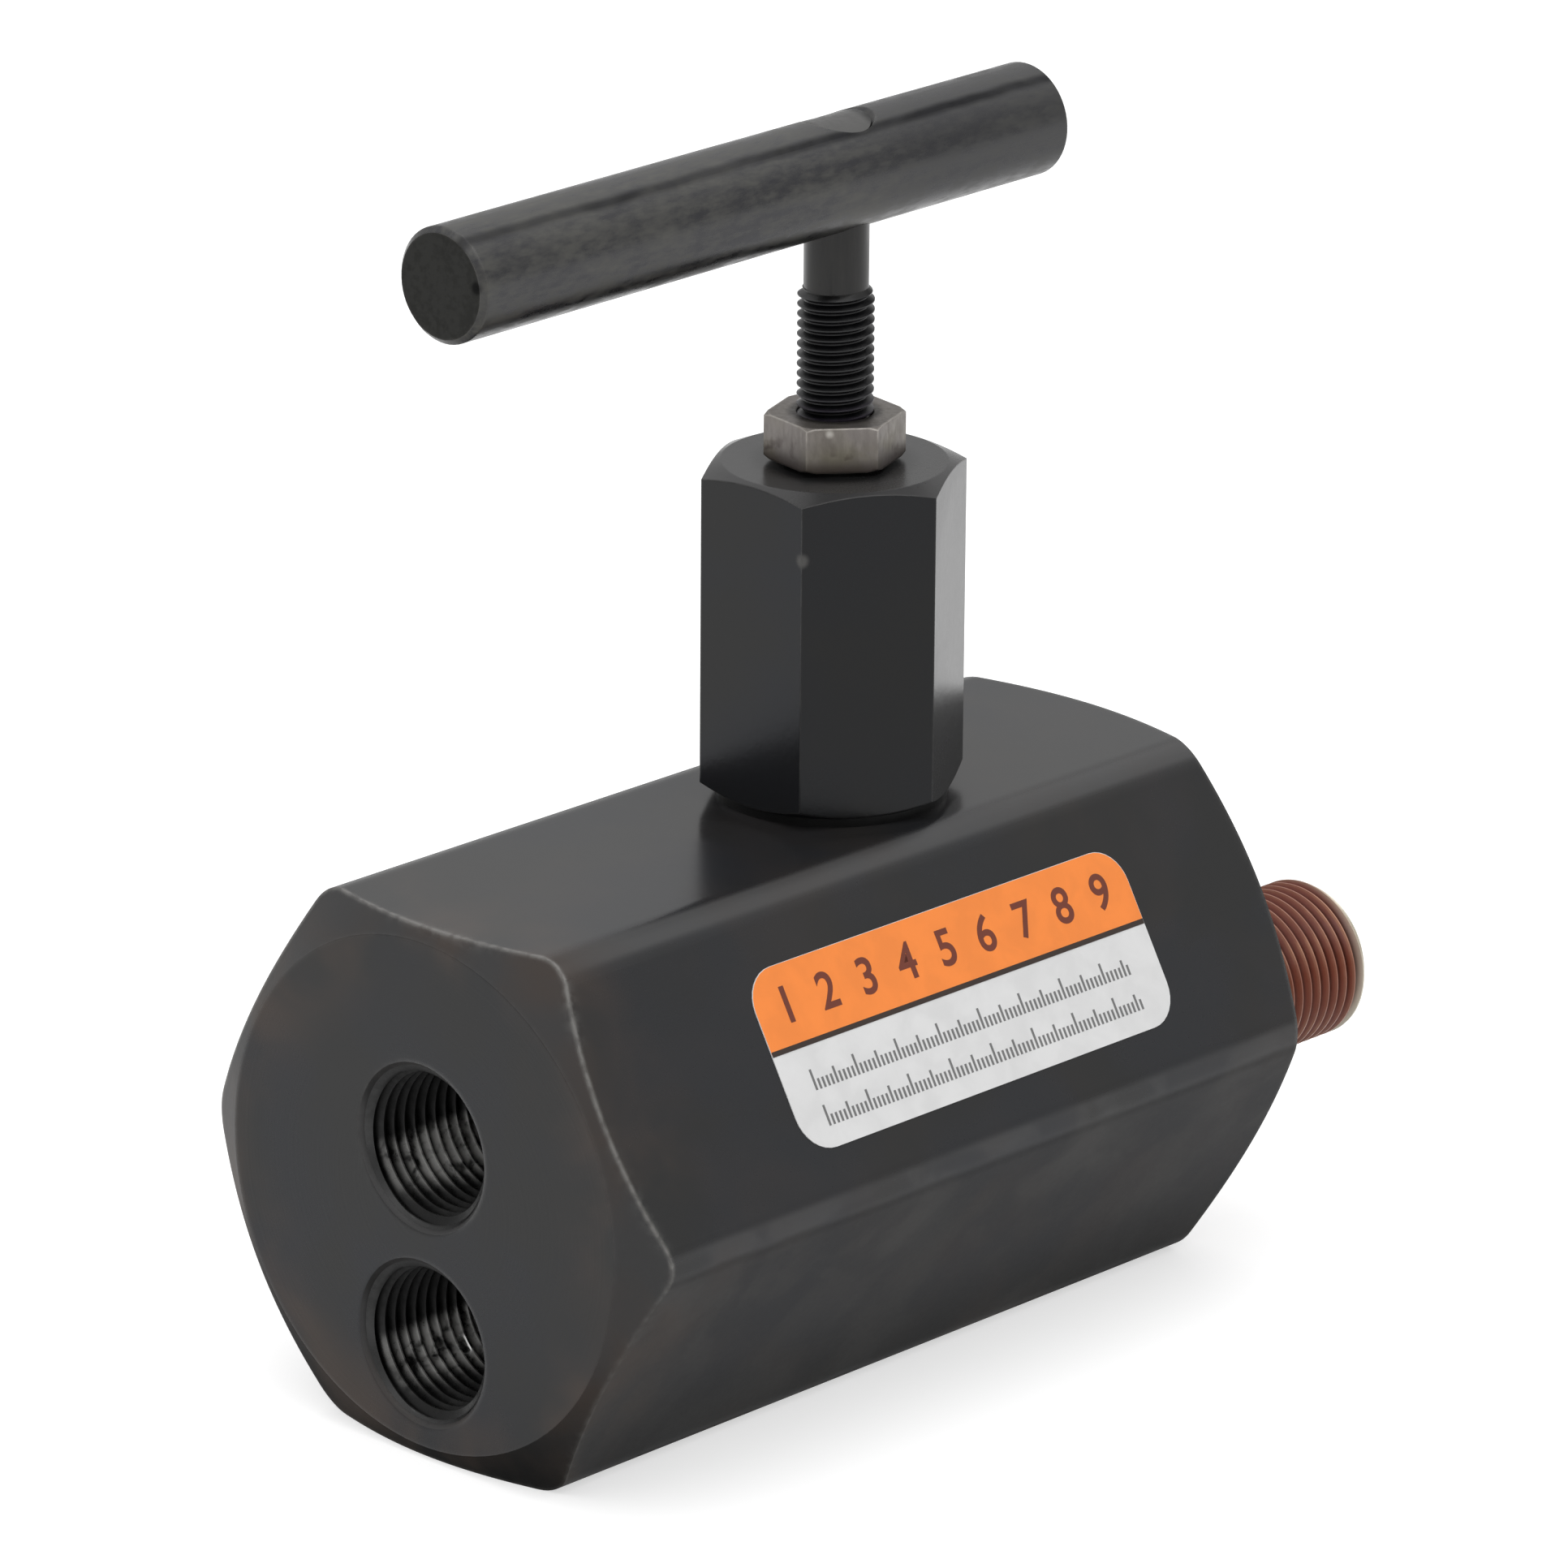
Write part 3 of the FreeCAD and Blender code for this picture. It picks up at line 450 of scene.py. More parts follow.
def makeBodyOxide():
    values = bodyValues
    material, tree, shader, colour, rough, fine, wear, normal = startOxide("bodyOxide", values)
    place = parts(objectPlace(tree))
    facing = parts(normal)
    # long rounded edges: they face away from the ends and from each pair of flats
    alongBar = absolute(facing["X"])
    edge = fade(alongBar, 0.05, 0.25)
    slant = math.sqrt(3) / 2
    for flat in ((0, 0, 1), (0, slant, 0.5), (0, slant, -0.5)):
        edge = times(edge, fade(absolute(vectorMath("DOT_PRODUCT", normal, flat)), 0.95, 0.9993))
    # the lower edges are only patchily paler
    smears = clouds(tree, 85, 0.42, 0.66, (0.13, 0.42, 0.27))
    kept = times(fade(facing["Z"], 0.1, 0.5), ramp(smears, 0.0, 0.9, 0.95, 0.3))
    edge = times(edge, minus(1.0, kept))
    # the paler rounded edges are partly rubbed wear, partly a painted highlight
    colour = mix(times(edge, 0.8), colour, values["paleTone"])
    rough = plus(rough, times(edge, values["rubbedRoughness"]))
    # painted light: the end chamfers are painted paler so their darker shading doesn't show against the end
    # face
    chamfer = times(ramp(alongBar, 0.3, 0.7), fade(alongBar, 0.92, 0.98))
    colour = mix(chamfer, colour, values["turned"])
    rough = plus(rough, times(chamfer, values["turnedRoughness"]))
    # pale smears on the undersides, plus a painted reflection that grows paler towards the top
    under = fade(facing["Z"], -0.45, -0.1)
    upper = ramp(place["Z"], bodyLow.z + values["paleStart"], barMiddle, 0.25, 0.8)
    pale = times(upper, ramp(smears, 0.0, 1.0, 0.3, 1.0))
    colour = mix(times(under, pale), colour, values["smearsAndReflection"])
    # painted shade: the undersides darken towards the bottom flat, standing in for the shaded floor they
    # reflect
    paintedLowShade = fadeFrom(place["Z"], bodyLow.z, values["paintedShadeHeight"])
    colour = mix(times(under, paintedLowShade), colour, oxideValues["paintedShade"])
    patches = clouds(tree, 65, 0.40, 0.75, (0.31, 0.12, 0.07))
    rings = ringsRound(tree, (0, 0, barMiddle), 0.35 * mm)
    rim = rampFrom(rings["Radius"], 0, values["brownRadius"])
    near = rampFrom(place["X"], nearEnd, values["brownDepth"], 1.0, 0.2)
    colour = mix(times(times(patches, rim), near, clamp=True), colour, values["brown"])
    # worn corners show most round the near end, where the valve is handled
    share = rampFrom(place["X"], nearEnd, values["wornDepth"], 0.9, 0.2)
    share = times(share, rampFrom(rings["Radius"], 0, values["wornRadius"], 0.1, 1.0))
    share = times(share, rampFrom(place["Z"], barMiddle, values["wornHeight"], 0.3, 1.0))
    halo = wornEdges(tree, values["haloRadius"], values["haloGain"], 1.0)["Mask"]
    halo = times(times(halo, smears), values["halo"])
    colour = mix(times(larger(wear["Mask"], halo), share), colour, oxideValues["worn"])
    dress(shader, colour, rough)
    marks = times(rings["Value"], fadeFrom(place["X"], nearEnd, values["markDepth"]))
    height = plus(times(fine, 0.5), marks)
    addBump(shader, height, oxideValues["grainStrength"], oxideValues["grainDepth"], wear["Normal"])
    return material


# Port threads: cut bright, then blackened; the crests of the lower wall carry painted light
portValues = {
    "specular": 0.3,
    "roughness": (0.25, 0.40),
    "metallic": (0.8, 0.15),  # blackened, and on the painted light
    "root": (0.004, 0.004, 0.004),
    "flank": (0.021, 0.021, 0.021),
    "threadRadius": (7.75, 8.45),  # crest and root, mm from the port's axis
    # painted highlight round the mouth
    "rim": (0.045, 0.045, 0.045),
    "rimDepth": (0.7, 1.6),  # mm from the near end
    "darkTone": (0.022, 0.022, 0.022),  # pooled along the bottom
    "oilHeight": (-6.6, -4.8),  # mm from the port's axis
    "dryHeight": (-2, 2),
    "dryRoughness": 0.25,  # added above that height
    # painted light on the crests of the lower wall
    "paleTone": (0.43, 0.425, 0.41),
    "paintedLightStart": (-7.3, -5.4),  # mm from the port's axis
    "paintedLightEnd": (-3.0, -1.2),
    "paintedLightSide": (-4, 3),  # more on the side away from the sticker
    "paintedLightDepth": (1, 8),  # mm from the near end
    "burr": (0.92, 0.92, 0.90),  # bright spot in one port
    "burrPlace": (11.5, 5.6, -5.1),  # mm from where the port's axis meets the near end
    "burrRadius": (0.7, 1.3),
}


def makePortOxide(name, hasBurr):
    values = portValues
    middle = mounts[name]["pos_m"][2]
    material, tree, shader = newMaterial(name + "Oxide", specular=values["specular"])
    rings = ringsRound(tree, (0, 0, middle), 0.3 * mm)
    x, y, z = parts(objectPlace(tree))
    crest = fadeFrom(rings["Radius"], 0, values["threadRadius"])
    colour = mix(crest, values["root"], values["flank"])
    colour = mix(fadeFrom(z, middle, values["oilHeight"], 0.9), colour, values["darkTone"])
    # painted light: the crests of the lower wall are painted paler, more on the far side and deeper in
    lower = rampFrom(z, middle, values["paintedLightStart"], 0.05, 1.0)
    lower = times(lower, fadeFrom(z, middle, values["paintedLightEnd"]))
    lower = times(lower, rampFrom(y, 0, values["paintedLightSide"], 0.12, 1.0))
    lower = times(lower, rampFrom(x, nearEnd, values["paintedLightDepth"], 0.3, 1.0))
    paleTone = times(times(crest, lower), clouds(tree, 600, 0.24, 0.56))
    colour = mix(paleTone, colour, values["paleTone"])
    metallic = ramp(paleTone, 0.0, 1.0, *values["metallic"])
    fine = grains(tree, 1500, 1.6)
    dry = rampFrom(z, middle, values["dryHeight"], 0.0, values["dryRoughness"])
    rough = plus(ramp(fine, 0.2, 0.8, *values["roughness"]), dry)
    if hasBurr:
        burr = Vector((nearEnd, 0, middle)) + Vector(values["burrPlace"]) * mm
        spot = spotAt(tree, burr, values["burrRadius"])
        colour = mix(spot, colour, values["burr"])
        metallic = larger(metallic, spot)
        rough = minus(rough, times(spot, 0.2), clamp=True)
    # painted highlight round the mouth
    colour = mix(fadeFrom(x, nearEnd, values["rimDepth"]), colour, values["rim"])
    dress(shader, colour, rough, metallic)
    addBump(shader, fine, 0.3, 0.02 * mm)
    return material


# Handle: drawn bar with an oily shine, a painted dark streak along it where its reflection has a gap, duller
# sawn ends
handleValues = {
    "specular": 0.62,
    "roughness": (0.27, 0.40),
    "metallic": (0.95, 0.1),  # underneath and on top
    "cool": (0.009, 0.009, 0.013),
    "warm": (0.051, 0.050, 0.044),
    "toneShares": (0.30, 0.25, 0.45),  # streaks, clouds and specks
    "worn": (0.13, 0.125, 0.115),
    "rightShade": 0.55,  # how much darker the bar is right of the screw
    "rightPlace": (-8, 12),  # mm along the bar from the screw
    "end": (0.019, 0.019, 0.017),
    "endMetallic": 0.7,
    "endRoughness": 0.35,
    "pit": (0.006, 0.006, 0.006),
    "pitPlace": (-57.2, -5.9, 0.8),  # small dark pit on the left end's rim, in mm from the bar's hole
    "pitRadius": (0.2, 0.9),
    "pitRoughness": 0.5,
    # painted shade: dark band where the bar's reflection has a gap
    "paintedStreak": (0.010, 0.010, 0.012),
    "streakAngle": 57.0,  # degrees up from the front of the bar
    "streakWidth": 0.17,
    "streakWander": 0.16,
    "streakMetallic": 0.65,
    "streakRoughness": 0.35,
}


def makeHandleMaterial():
    values = handleValues
    material, tree, shader = newMaterial("handleSteel", specular=values["specular"])
    streaks = grains(tree, 700, 2.6, (0.08, 1, 1))
    slow = clouds(tree, 75, 0.35, 0.66)
    specks = grains(tree, 1100, 3.0, (0.4, 1, 1))
    streakShare, slowShare, speckShare = values["toneShares"]
    tone = plus(times(streaks, streakShare), times(slow, slowShare))
    tone = ramp(plus(tone, times(specks, speckShare)), 0.08, 0.92)
    colour = mix(tone, values["cool"], values["warm"])
    along = parts(objectPlace(tree))["X"]
    shade = rampFrom(along, valveAxis, values["rightPlace"], 0.0, values["rightShade"])
    colour = mix(shade, colour, values["paintedStreak"])
    normal = surfaceNormal(tree)
    facing = parts(normal)
    metallic = ramp(facing["Z"], -0.9, 0.3, *values["metallic"])
    onEnd = ramp(absolute(facing["X"]), 0.8, 0.95)
    colour = mix(onEnd, colour, values["end"])
    wear = wornEdges(tree, 0.45 * mm, 6.0, 0.6)
    colour = mix(times(wear["Mask"], 0.5), colour, values["worn"])
    pit = Vector(values["pitPlace"]) * mm + Vector((valveAxis, 0, handleHeight))
    spot = spotAt(tree, pit, values["pitRadius"])
    colour = mix(spot, colour, values["pit"])
    # the painted dark streak follows one line along the bar, wandering a little
    angle = math.radians(values["streakAngle"])
    across = vectorMath("DOT_PRODUCT", normal, (0, math.sin(angle), math.cos(angle)))
    wander = clouds(tree, 40, 0.2, 0.8, (0.5, 0.1, 0.2))
    away = absolute(plus(across, times(minus(wander, 0.5), values["streakWander"])))
    paintedStreak = fade(away, 0.02, values["streakWidth"])
    paintedStreak = times(paintedStreak, ramp(slow, 0.0, 0.8, 1.0, 0.6))
    paintedStreak = times(paintedStreak, minus(1.0, onEnd))
    colour = mix(times(paintedStreak, 0.85), colour, values["paintedStreak"])
    metallic = plus(metallic, times(paintedStreak, values["streakMetallic"]), clamp=True)
    metallic = larger(metallic, times(onEnd, values["endMetallic"]))
    rough = plus(ramp(tone, 0.2, 0.8, *values["roughness"]), times(paintedStreak, values["streakRoughness"]))
    rough = plus(rough, times(onEnd, values["endRoughness"]))
    rough = plus(rough, times(spot, values["pitRoughness"]), clamp=True)
    dress(shader, colour, rough, metallic)
    addBump(shader, streaks, 0.3, 0.02 * mm, wear["Normal"])
    return material


# Adjusting screw: near-black thread with an oily shine, neck worn lighter
screwValues = {
    "metallic": 0.45,
    "roughness": (0.28, 0.42),
    "root": (0.003, 0.003, 0.004),
    "crest": (0.016, 0.016, 0.017),
    "crestRadius": (3.6, 3.95),  # mm from the screw's axis
    "bloom": (0.013, 0.009, 0.018),  # on the lowest turns
    "bloomHeight": (0.5, 3.0),  # mm above the nut
    "neckDark": (0.006, 0.006, 0.006),
    "neckLight": (0.024, 0.023, 0.022),
    "neckHeight": (-0.1, 0.6),  # mm above the thread
    "head": (0.080, 0.079, 0.077),  # riveted end, rubbed bright
    "headHeight": (3.5, 4.2),  # mm above the bar's middle
    "headPaintedShade": (1.4, 3.0),  # painted shade on its right side, in mm from the axis
}


def makeScrewMaterial():
    values = screwValues
    material, tree, shader = newMaterial("screwSteel", metallic=values["metallic"])
    rings = ringsRound(tree, (valveAxis, 0, 0), 0.2 * mm, (0, 0, 1))
    crest = rampFrom(rings["Radius"], 0, values["crestRadius"])
    colour = mix(crest, values["root"], values["crest"])
    place = parts(objectPlace(tree))
    bloom = fadeFrom(place["Z"], nutHigh.z, values["bloomHeight"], 0.9)
    colour = mix(times(crest, bloom), colour, values["bloom"])
    streaks = grains(tree, 900, 2.0, (1, 1, 0.12))
    neckColour = mix(streaks, values["neckDark"], values["neckLight"])
    colour = mix(rampFrom(place["Z"], threadTop, values["neckHeight"]), colour, neckColour)
    # painted shade on the right side of the riveted end
    headColour = mix(rampFrom(place["X"], valveAxis, values["headPaintedShade"]), values["head"], values["neckDark"])
    colour = mix(rampFrom(place["Z"], handleHeight, values["headHeight"]), colour, headColour)
    dress(shader, colour, ramp(streaks, 0.2, 0.8, *values["roughness"]))
    addBump(shader, streaks, 0.3, 0.02 * mm)
    return material


# Jam nut: dull plating, yellowed, with darker stains low down and darker towards the foot
nutValues = {
    "metallic": 0.75,
    "roughness": (0.36, 0.52),
    "plate": (0.190, 0.173, 0.162),
    "olive": (0.16, 0.146, 0.108),
    "oliveHeight": (1.0, 3.8),  # heights in mm above the nut's foot
    "stain": (0.055, 0.040, 0.036),
    "stainHeight": (0.2, 3.5),
    "footHeight": (0, 1.8),  # darker towards the foot
    "worn": (0.55, 0.52, 0.48),
    "wornHeight": (2.6, 4.3),
    # painted highlight: a small glint near the top edge of the front face
    "paintedGlint": (0.50, 0.48, 0.44),
    "paintedGlintPlace": (-5.20, -4.20, -0.55),  # in mm from the middle of the nut's top
    "paintedGlintRadius": (0.1, 0.65),
    # darker ring round the screw on the nut's top
    "darkTone": (0.030, 0.027, 0.024),
    "darkRingRadius": (4.3, 5.3),  # mm from the screw's axis
}


def makeNutMaterial():
    values = nutValues
    material, tree, shader = newMaterial("nutPlating", metallic=values["metallic"])
    slow = clouds(tree, 170, 0.36, 0.64)
    height = parts(objectPlace(tree))["Z"]
    lower = rampFrom(height, nutLow.z, values["oliveHeight"], 1.0, 0.25)
    colour = mix(times(slow, lower), values["plate"], values["olive"])
    spots = clouds(tree, 320, 0.50, 0.70, (0.2, 0.4, 0.1))
    stainsAndDarkFoot = times(spots, rampFrom(height, nutLow.z, values["stainHeight"], 1.0, 0.2))
    stainsAndDarkFoot = larger(stainsAndDarkFoot, fadeFrom(height, nutLow.z, values["footHeight"], 0.75))
    colour = mix(stainsAndDarkFoot, colour, values["stain"])
    wear = wornEdges(tree, 0.35 * mm, 9.0, 0.4)
    # edges paler higher up: wear, and a painted highlight along the top edges
    upper = rampFrom(height, nutLow.z, values["wornHeight"], 0.12, 0.9)
    colour = mix(times(wear["Mask"], upper), colour, values["worn"])
    # painted highlight: a small glint near the top edge
    paintedGlint = Vector(values["paintedGlintPlace"]) * mm + Vector((valveAxis, 0, nutHigh.z))
    colour = mix(spotAt(tree, paintedGlint, values["paintedGlintRadius"], 0.8), colour, values["paintedGlint"])
    # darker ring round the screw on the nut's top
    rings = ringsRound(tree, (valveAxis, 0, 0), 0.2 * mm, (0, 0, 1))
    colour = mix(fadeFrom(rings["Radius"], 0, values["darkRingRadius"], 0.85), colour, values["darkTone"])
    fine = grains(tree, 1800, 1.6, (1, 1, 0.4))
    dress(shader, colour, ramp(fine, 0.2, 0.8, *values["roughness"]))
    addBump(shader, fine, 0.35, 0.03 * mm, wear["Normal"])
    return material


# Nipple: reddish-brown sealing coat, rubbed paler on the crests, bare metal at the free end
nippleValues = {
    "roughness": (0.34, 0.52),
    "groove": (0.055, 0.010, 0.004),
    "grooveRadius": (7.75, 8.3),  # mm from the nipple's axis
    "flank": (0.20, 0.042, 0.016),
    "mauve": (0.24, 0.105, 0.095),
    "mauveHeight": (1.5, 6.0),  # mm above and below the middle
    "crest": (0.42, 0.205, 0.125),
    "crestRadius": (8.25, 8.5),
    "bare": (0.62, 0.58, 0.48),
    "bareMetallic": 0.5,
    "barePlace": (-2.1, -1.3),  # mm from the free end
    "bore": (0.05, 0.045, 0.04),
}


def makeNippleMaterial():
    values = nippleValues
    material, tree, shader = newMaterial("nippleCoat")
    radius = ringsRound(tree, (0, nipplePlace.y, nipplePlace.z), 0.2 * mm)["Radius"]
    place = parts(objectPlace(tree))
    outer = rampFrom(absolute(minus(place["Z"], nipplePlace.z)), 0, values["mauveHeight"], 0.1, 1.0)
    tint = clouds(tree, 90, 0.40, 0.64, (0.2, 0.7, 0.4))
    tint = times(outer, plus(times(tint, 0.5), 0.5))
    colour = mix(tint, values["flank"], values["mauve"])
    colour = mix(rampFrom(radius, 0, values["grooveRadius"]), values["groove"], colour)
    slow = clouds(tree, 150, 0.36, 0.66)
    paleTone = times(rampFrom(radius, 0, values["crestRadius"]), plus(times(slow, 0.6), 0.35))
    paleTone = times(paleTone, plus(times(outer, 0.6), 0.4))
    colour = mix(paleTone, colour, values["crest"])
    bare = rampFrom(place["X"], nippleEnd, values["barePlace"])
    colour = mix(bare, colour, values["bare"])
    colour = mix(fadeFrom(radius, nippleShape["bore"], (0.1, 0.5)), colour, values["bore"])
    fine = grains(tree, 1600, 1.6)
    dress(shader, colour, ramp(fine, 0.2, 0.8, *values["roughness"]), times(bare, values["bareMetallic"]))
    addBump(shader, fine, 0.3, 0.03 * mm)
    return material


# Plain finishes, nearly all on the pieces inside
plainValues = {
    "brightSteel": {
        "base": (0.50, 0.50, 0.50), "second": (0.40, 0.40, 0.41), "metallic": 1.0, "roughness": (0.18, 0.30),
        "nodes": ("seat_carrier", "seat_insert", "poppet", "lower_spring_seat", "upper_spring_seat")},
    "springSteel": {
        "base": (0.20, 0.19, 0.18), "second": (0.12, 0.115, 0.11), "metallic": 0.9, "roughness": (0.30, 0.45),
        "nodes": ("main_spring", "check_spring")},
    "ballSteel": {
        "base": (0.70, 0.70, 0.70), "second": (0.62, 0.62, 0.63), "metallic": 1.0, "roughness": (0.06, 0.12),
        "nodes": ("thrust_ball", "check_ball")},
    "bushBronze": {
        "base": (0.62, 0.42, 0.18), "second": (0.50, 0.33, 0.14), "metallic": 1.0, "roughness": (0.24, 0.38),
        "nodes": ("guide_bush", "check_retainer")},
    "sealRubber": {
        "base": (0.014, 0.014, 0.014), "second": (0.022, 0.022, 0.021), "metallic": 0.0,
        "roughness": (0.55, 0.75), "nodes": ("carrier_o_ring", "guide_o_ring", "stem_o_ring")},
    "sealPlastic": {
        "base": (0.70, 0.70, 0.66), "second": (0.60, 0.60, 0.56), "metallic": 0.0, "roughness": (0.40, 0.55),
        "nodes": ("carrier_backup_ring", "guide_backup_ring", "stem_backup_ring")},
    "gasket": {
        "base": (0.004, 0.004, 0.004), "second": (0.007, 0.007, 0.007), "metallic": 0.6,
        "roughness": (0.30, 0.45), "nodes": ("bonnet_gasket",)},
    "nutSeal": {
        "base": (0.020, 0.020, 0.018), "second": (0.030, 0.029, 0.025), "metallic": 0.0,
        "roughness": (0.45, 0.65), "nodes": ("nut_seal_ring",)},
}


def makePlain(name):
    values = plainValues[name]
    material, tree, shader = newMaterial(name, metallic=values["metallic"])
    fine = grains(tree, 2200, 1.5, (1, 1, 0.3))
    colour = mix(clouds(tree, 220, 0.35, 0.65), values["base"], values["second"])
    dress(shader, colour, ramp(fine, 0.2, 0.8, *values["roughness"]))
    addBump(shader, fine, 0.25, 0.01 * mm)
    return material


# Sticker: printed film, a little mottled
stickerValues = {
    "orange": (0.97, 0.265, 0.041),
    "white": (0.74, 0.74, 0.74),
    "rule": (0.030, 0.016, 0.010),
    "digit": (0.16, 0.030, 0.012),
    "tick": (0.17, 0.17, 0.17),
}
prints = list(stickerValues)


def makePrint(name):
    material, tree, shader = newMaterial("print_" + name)
    colour = stickerValues[name]
    paler = tuple(0.92 * part for part in colour)
    fine = grains(tree, 1400, 1.2)
    dress(shader, mix(clouds(tree, 260, 0.3, 0.7), colour, paler), ramp(fine, 0.2, 0.8, 0.36, 0.48))
    addBump(shader, fine, 0.2, 0.01 * mm)
    return material


# Threads and turned forms share one mesh maker: rings of points about an upright axis at the origin
pipePitch = 25.4 / 18 * mm  # eighteen turns to the inch on the pipe threads
screwPitch = 25.4 / 24 * mm  # twenty-four on the adjusting screw
rowsPerTurn = 8
flankSpan = (1 / 16, 7 / 16)  # where a flank starts and ends, as shares of the pitch from the crest's middle


def threadHeight(phase):
    # share of the thread's depth, from 1 on the flat crest to 0 in the flat root
    start, end = flankSpan
    away = abs((phase + 0.5) % 1 - 0.5)
    return min(1.0, max(0.0, (end - away) / (end - start)))


def roundAxis(mesh, radius, angle, height):
    return mesh.verts.new((radius * math.cos(angle), radius * math.sin(angle), height))


def addThread(mesh, low, high, pitch, radiusAt, columns):
    # sheared grid that follows the helix; its ends are held to the two end planes
    turnRows = math.ceil((high - low) / pitch + 2) * rowsPerTurn
    grid = []
    for row in range(-rowsPerTurn, turnRows):
        line = []
        for column in range(columns):
            height = low + ((row - 0.5) / rowsPerTurn + column / columns) * pitch
            height = min(high, max(low, height))
            radius = radiusAt(height, threadHeight((height - low) / pitch - column / columns))
            line.append(roundAxis(mesh, radius, 2 * math.pi * column / columns, height))
        grid.append(line)
    for row in range(len(grid) - 1):
        for column in range(columns):
            after = column + 1
            skip = 0 if after < columns else rowsPerTurn
            if row + 1 + skip >= len(grid):
                continue
            after %= columns
            mesh.faces.new((grid[row][column], grid[row + skip][after],
                            grid[row + 1 + skip][after], grid[row + 1][column]))


def addRings(mesh, outline, columns):
    # turned surface through (radius, height) points; a radius of 0 is a point on the axis
    rings = []
    for radius, height in outline:
        if radius == 0:
            rings.append([mesh.verts.new((0, 0, height))])
            continue
        angles = (2 * math.pi * column / columns for column in range(columns))
        rings.append([roundAxis(mesh, radius, angle, height) for angle in angles])
    bridgeRings(mesh, rings, columns)


def bridgeRings(mesh, rings, columns):
    for lower, upper in zip(rings, rings[1:]):
        for column in range(columns):
            after = (column + 1) % columns
            if len(lower) == 1:
                mesh.faces.new((lower[0], upper[after], upper[column]))
            elif len(upper) == 1:
                mesh.faces.new((lower[column], lower[after], upper[0]))
            else:
                mesh.faces.new((lower[column], lower[after], upper[after], upper[column]))


def linkPiece(mesh, name, materials, place):
    bmesh.ops.recalc_face_normals(mesh, faces=mesh.faces)
    data = bpy.data.meshes.new(name)
    mesh.to_mesh(data)
    mesh.free()
    data.transform(place)
    for material in materials:
        data.materials.append(material)
    piece = bpy.data.objects.new(name, data)
    scene.collection.objects.link(piece)
    return piece


def linkTurned(mesh, name, body, material, place, sharpAngle=35, weld=0.0005 * mm):
    bmesh.ops.remove_doubles(mesh, verts=mesh.verts, dist=weld)
    bmesh.ops.dissolve_degenerate(mesh, edges=mesh.edges, dist=weld)
    piece = linkPiece(mesh, name, [material], place)
    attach(piece, body)
    for polygon in piece.data.polygons:
        polygon.use_smooth = True
    piece.data.set_sharp_from_angle(angle=math.radians(sharpAngle))
    return piece


# Adjusting screw: cupped tip, thread, neck and the head that is riveted in the handle
screwShape = {
    "radius": (screwHigh.x - screwLow.x) / 2,
    "rootRadius": 3.34 * mm,
    "tipRadius": 3.29 * mm,
    "neckRadius": 3.35 * mm,
    "cupRadius": 2.41 * mm,  # round the thrust ball
    "cupRise": 1.0 * mm,
    "cupSteps": 8,
    "shown": 12.7 * mm,  # thread above the jam nut
    "headDepth": 1.0 * mm,  # the countersink starts this far below the handle's top
    "headFlare": 0.85 * mm,  # riveted end, spread into the countersink on one side
    "headFlush": 0.04 * mm,  # below the handle's round surface
    "headRings": (0.96, 0.8, 0.5, 0.2),  # shares of its radius
    "columns": 72,
}
threadTop = nutHigh.z + screwShape["shown"]


def headRing(mesh, scale, flare, rise):
    # ring of the riveted end, kept under the bar's round surface
    shape = screwShape
    ring = []
    for column in range(shape["columns"]):
        angle = 2 * math.pi * column / shape["columns"]
        radius = scale * (shape["neckRadius"] + flare * math.sqrt(max(0.0, -math.cos(angle))))
        surface = math.sqrt(handleRadius ** 2 - (radius * math.sin(angle)) ** 2) - shape["headFlush"]
        ring.append(roundAxis(mesh, radius, angle, handleHeight + min(rise, surface)))
    return ring


def makeScrew(material):
    shape = screwShape
    mesh = bmesh.new()
    low = screwLow.z
    columns = shape["columns"]
    neckStart = threadTop + shape["radius"] - shape["neckRadius"]

    def radiusAt(height, share):
        body = shape["rootRadius"] + (shape["radius"] - shape["rootRadius"]) * share
        return min(body, shape["tipRadius"] + (height - low), shape["neckRadius"] + neckStart - height)

    addThread(mesh, low, neckStart, screwPitch, radiusAt, columns)
    cup = []
    edge = math.acos(shape["cupRise"] / shape["cupRadius"])
    for step in range(shape["cupSteps"] + 1):
        angle = edge * step / shape["cupSteps"]
        height = low - shape["cupRise"] + shape["cupRadius"] * math.cos(angle)
        cup.append((shape["cupRadius"] * math.sin(angle), height))
    addRings(mesh, [*cup, (shape["tipRadius"], low)], columns)
    addRings(mesh, [(shape["neckRadius"], neckStart), (shape["neckRadius"], handleHeight)], columns)
    sink = handleRadius - shape["headDepth"]
    flare = shape["headFlare"]
    rings = [headRing(mesh, 1.0, 0, 0), headRing(mesh, 1.0, 0, sink)]
    rings.append(headRing(mesh, 1.0, flare, sink + flare))
    for scale in shape["headRings"]:
        rings.append(headRing(mesh, scale, flare, handleRadius))
    rings.append([mesh.verts.new((0, 0, handleHeight + handleRadius - shape["headFlush"]))])
    bridgeRings(mesh, rings, columns)
    place = Matrix.Translation((valveAxis, 0, 0))
    piece = linkTurned(mesh, "screwWithThread", "screw_assembly", material, place)
    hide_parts("adjusting_screw")


# Nipple: heavy pipe with a tapered thread on its free end
nippleShape = {
    "crestRadius": mounts["nipple"]["dims"]["r_mm"] * mm,
    "rootAtEnd": 7.42 * mm,
    "taper": 1 / 32,  # radius per length
    "chamfer": 1.2 * mm,
    "threadStart": farEnd - 1.0 * mm,
    "startRadius": 7.6 * mm,
    "runIn": 1.0 * mm,
    "bore": 5.37 * mm,
    "boreLip": 0.25 * mm,
    "columns": 96,
}


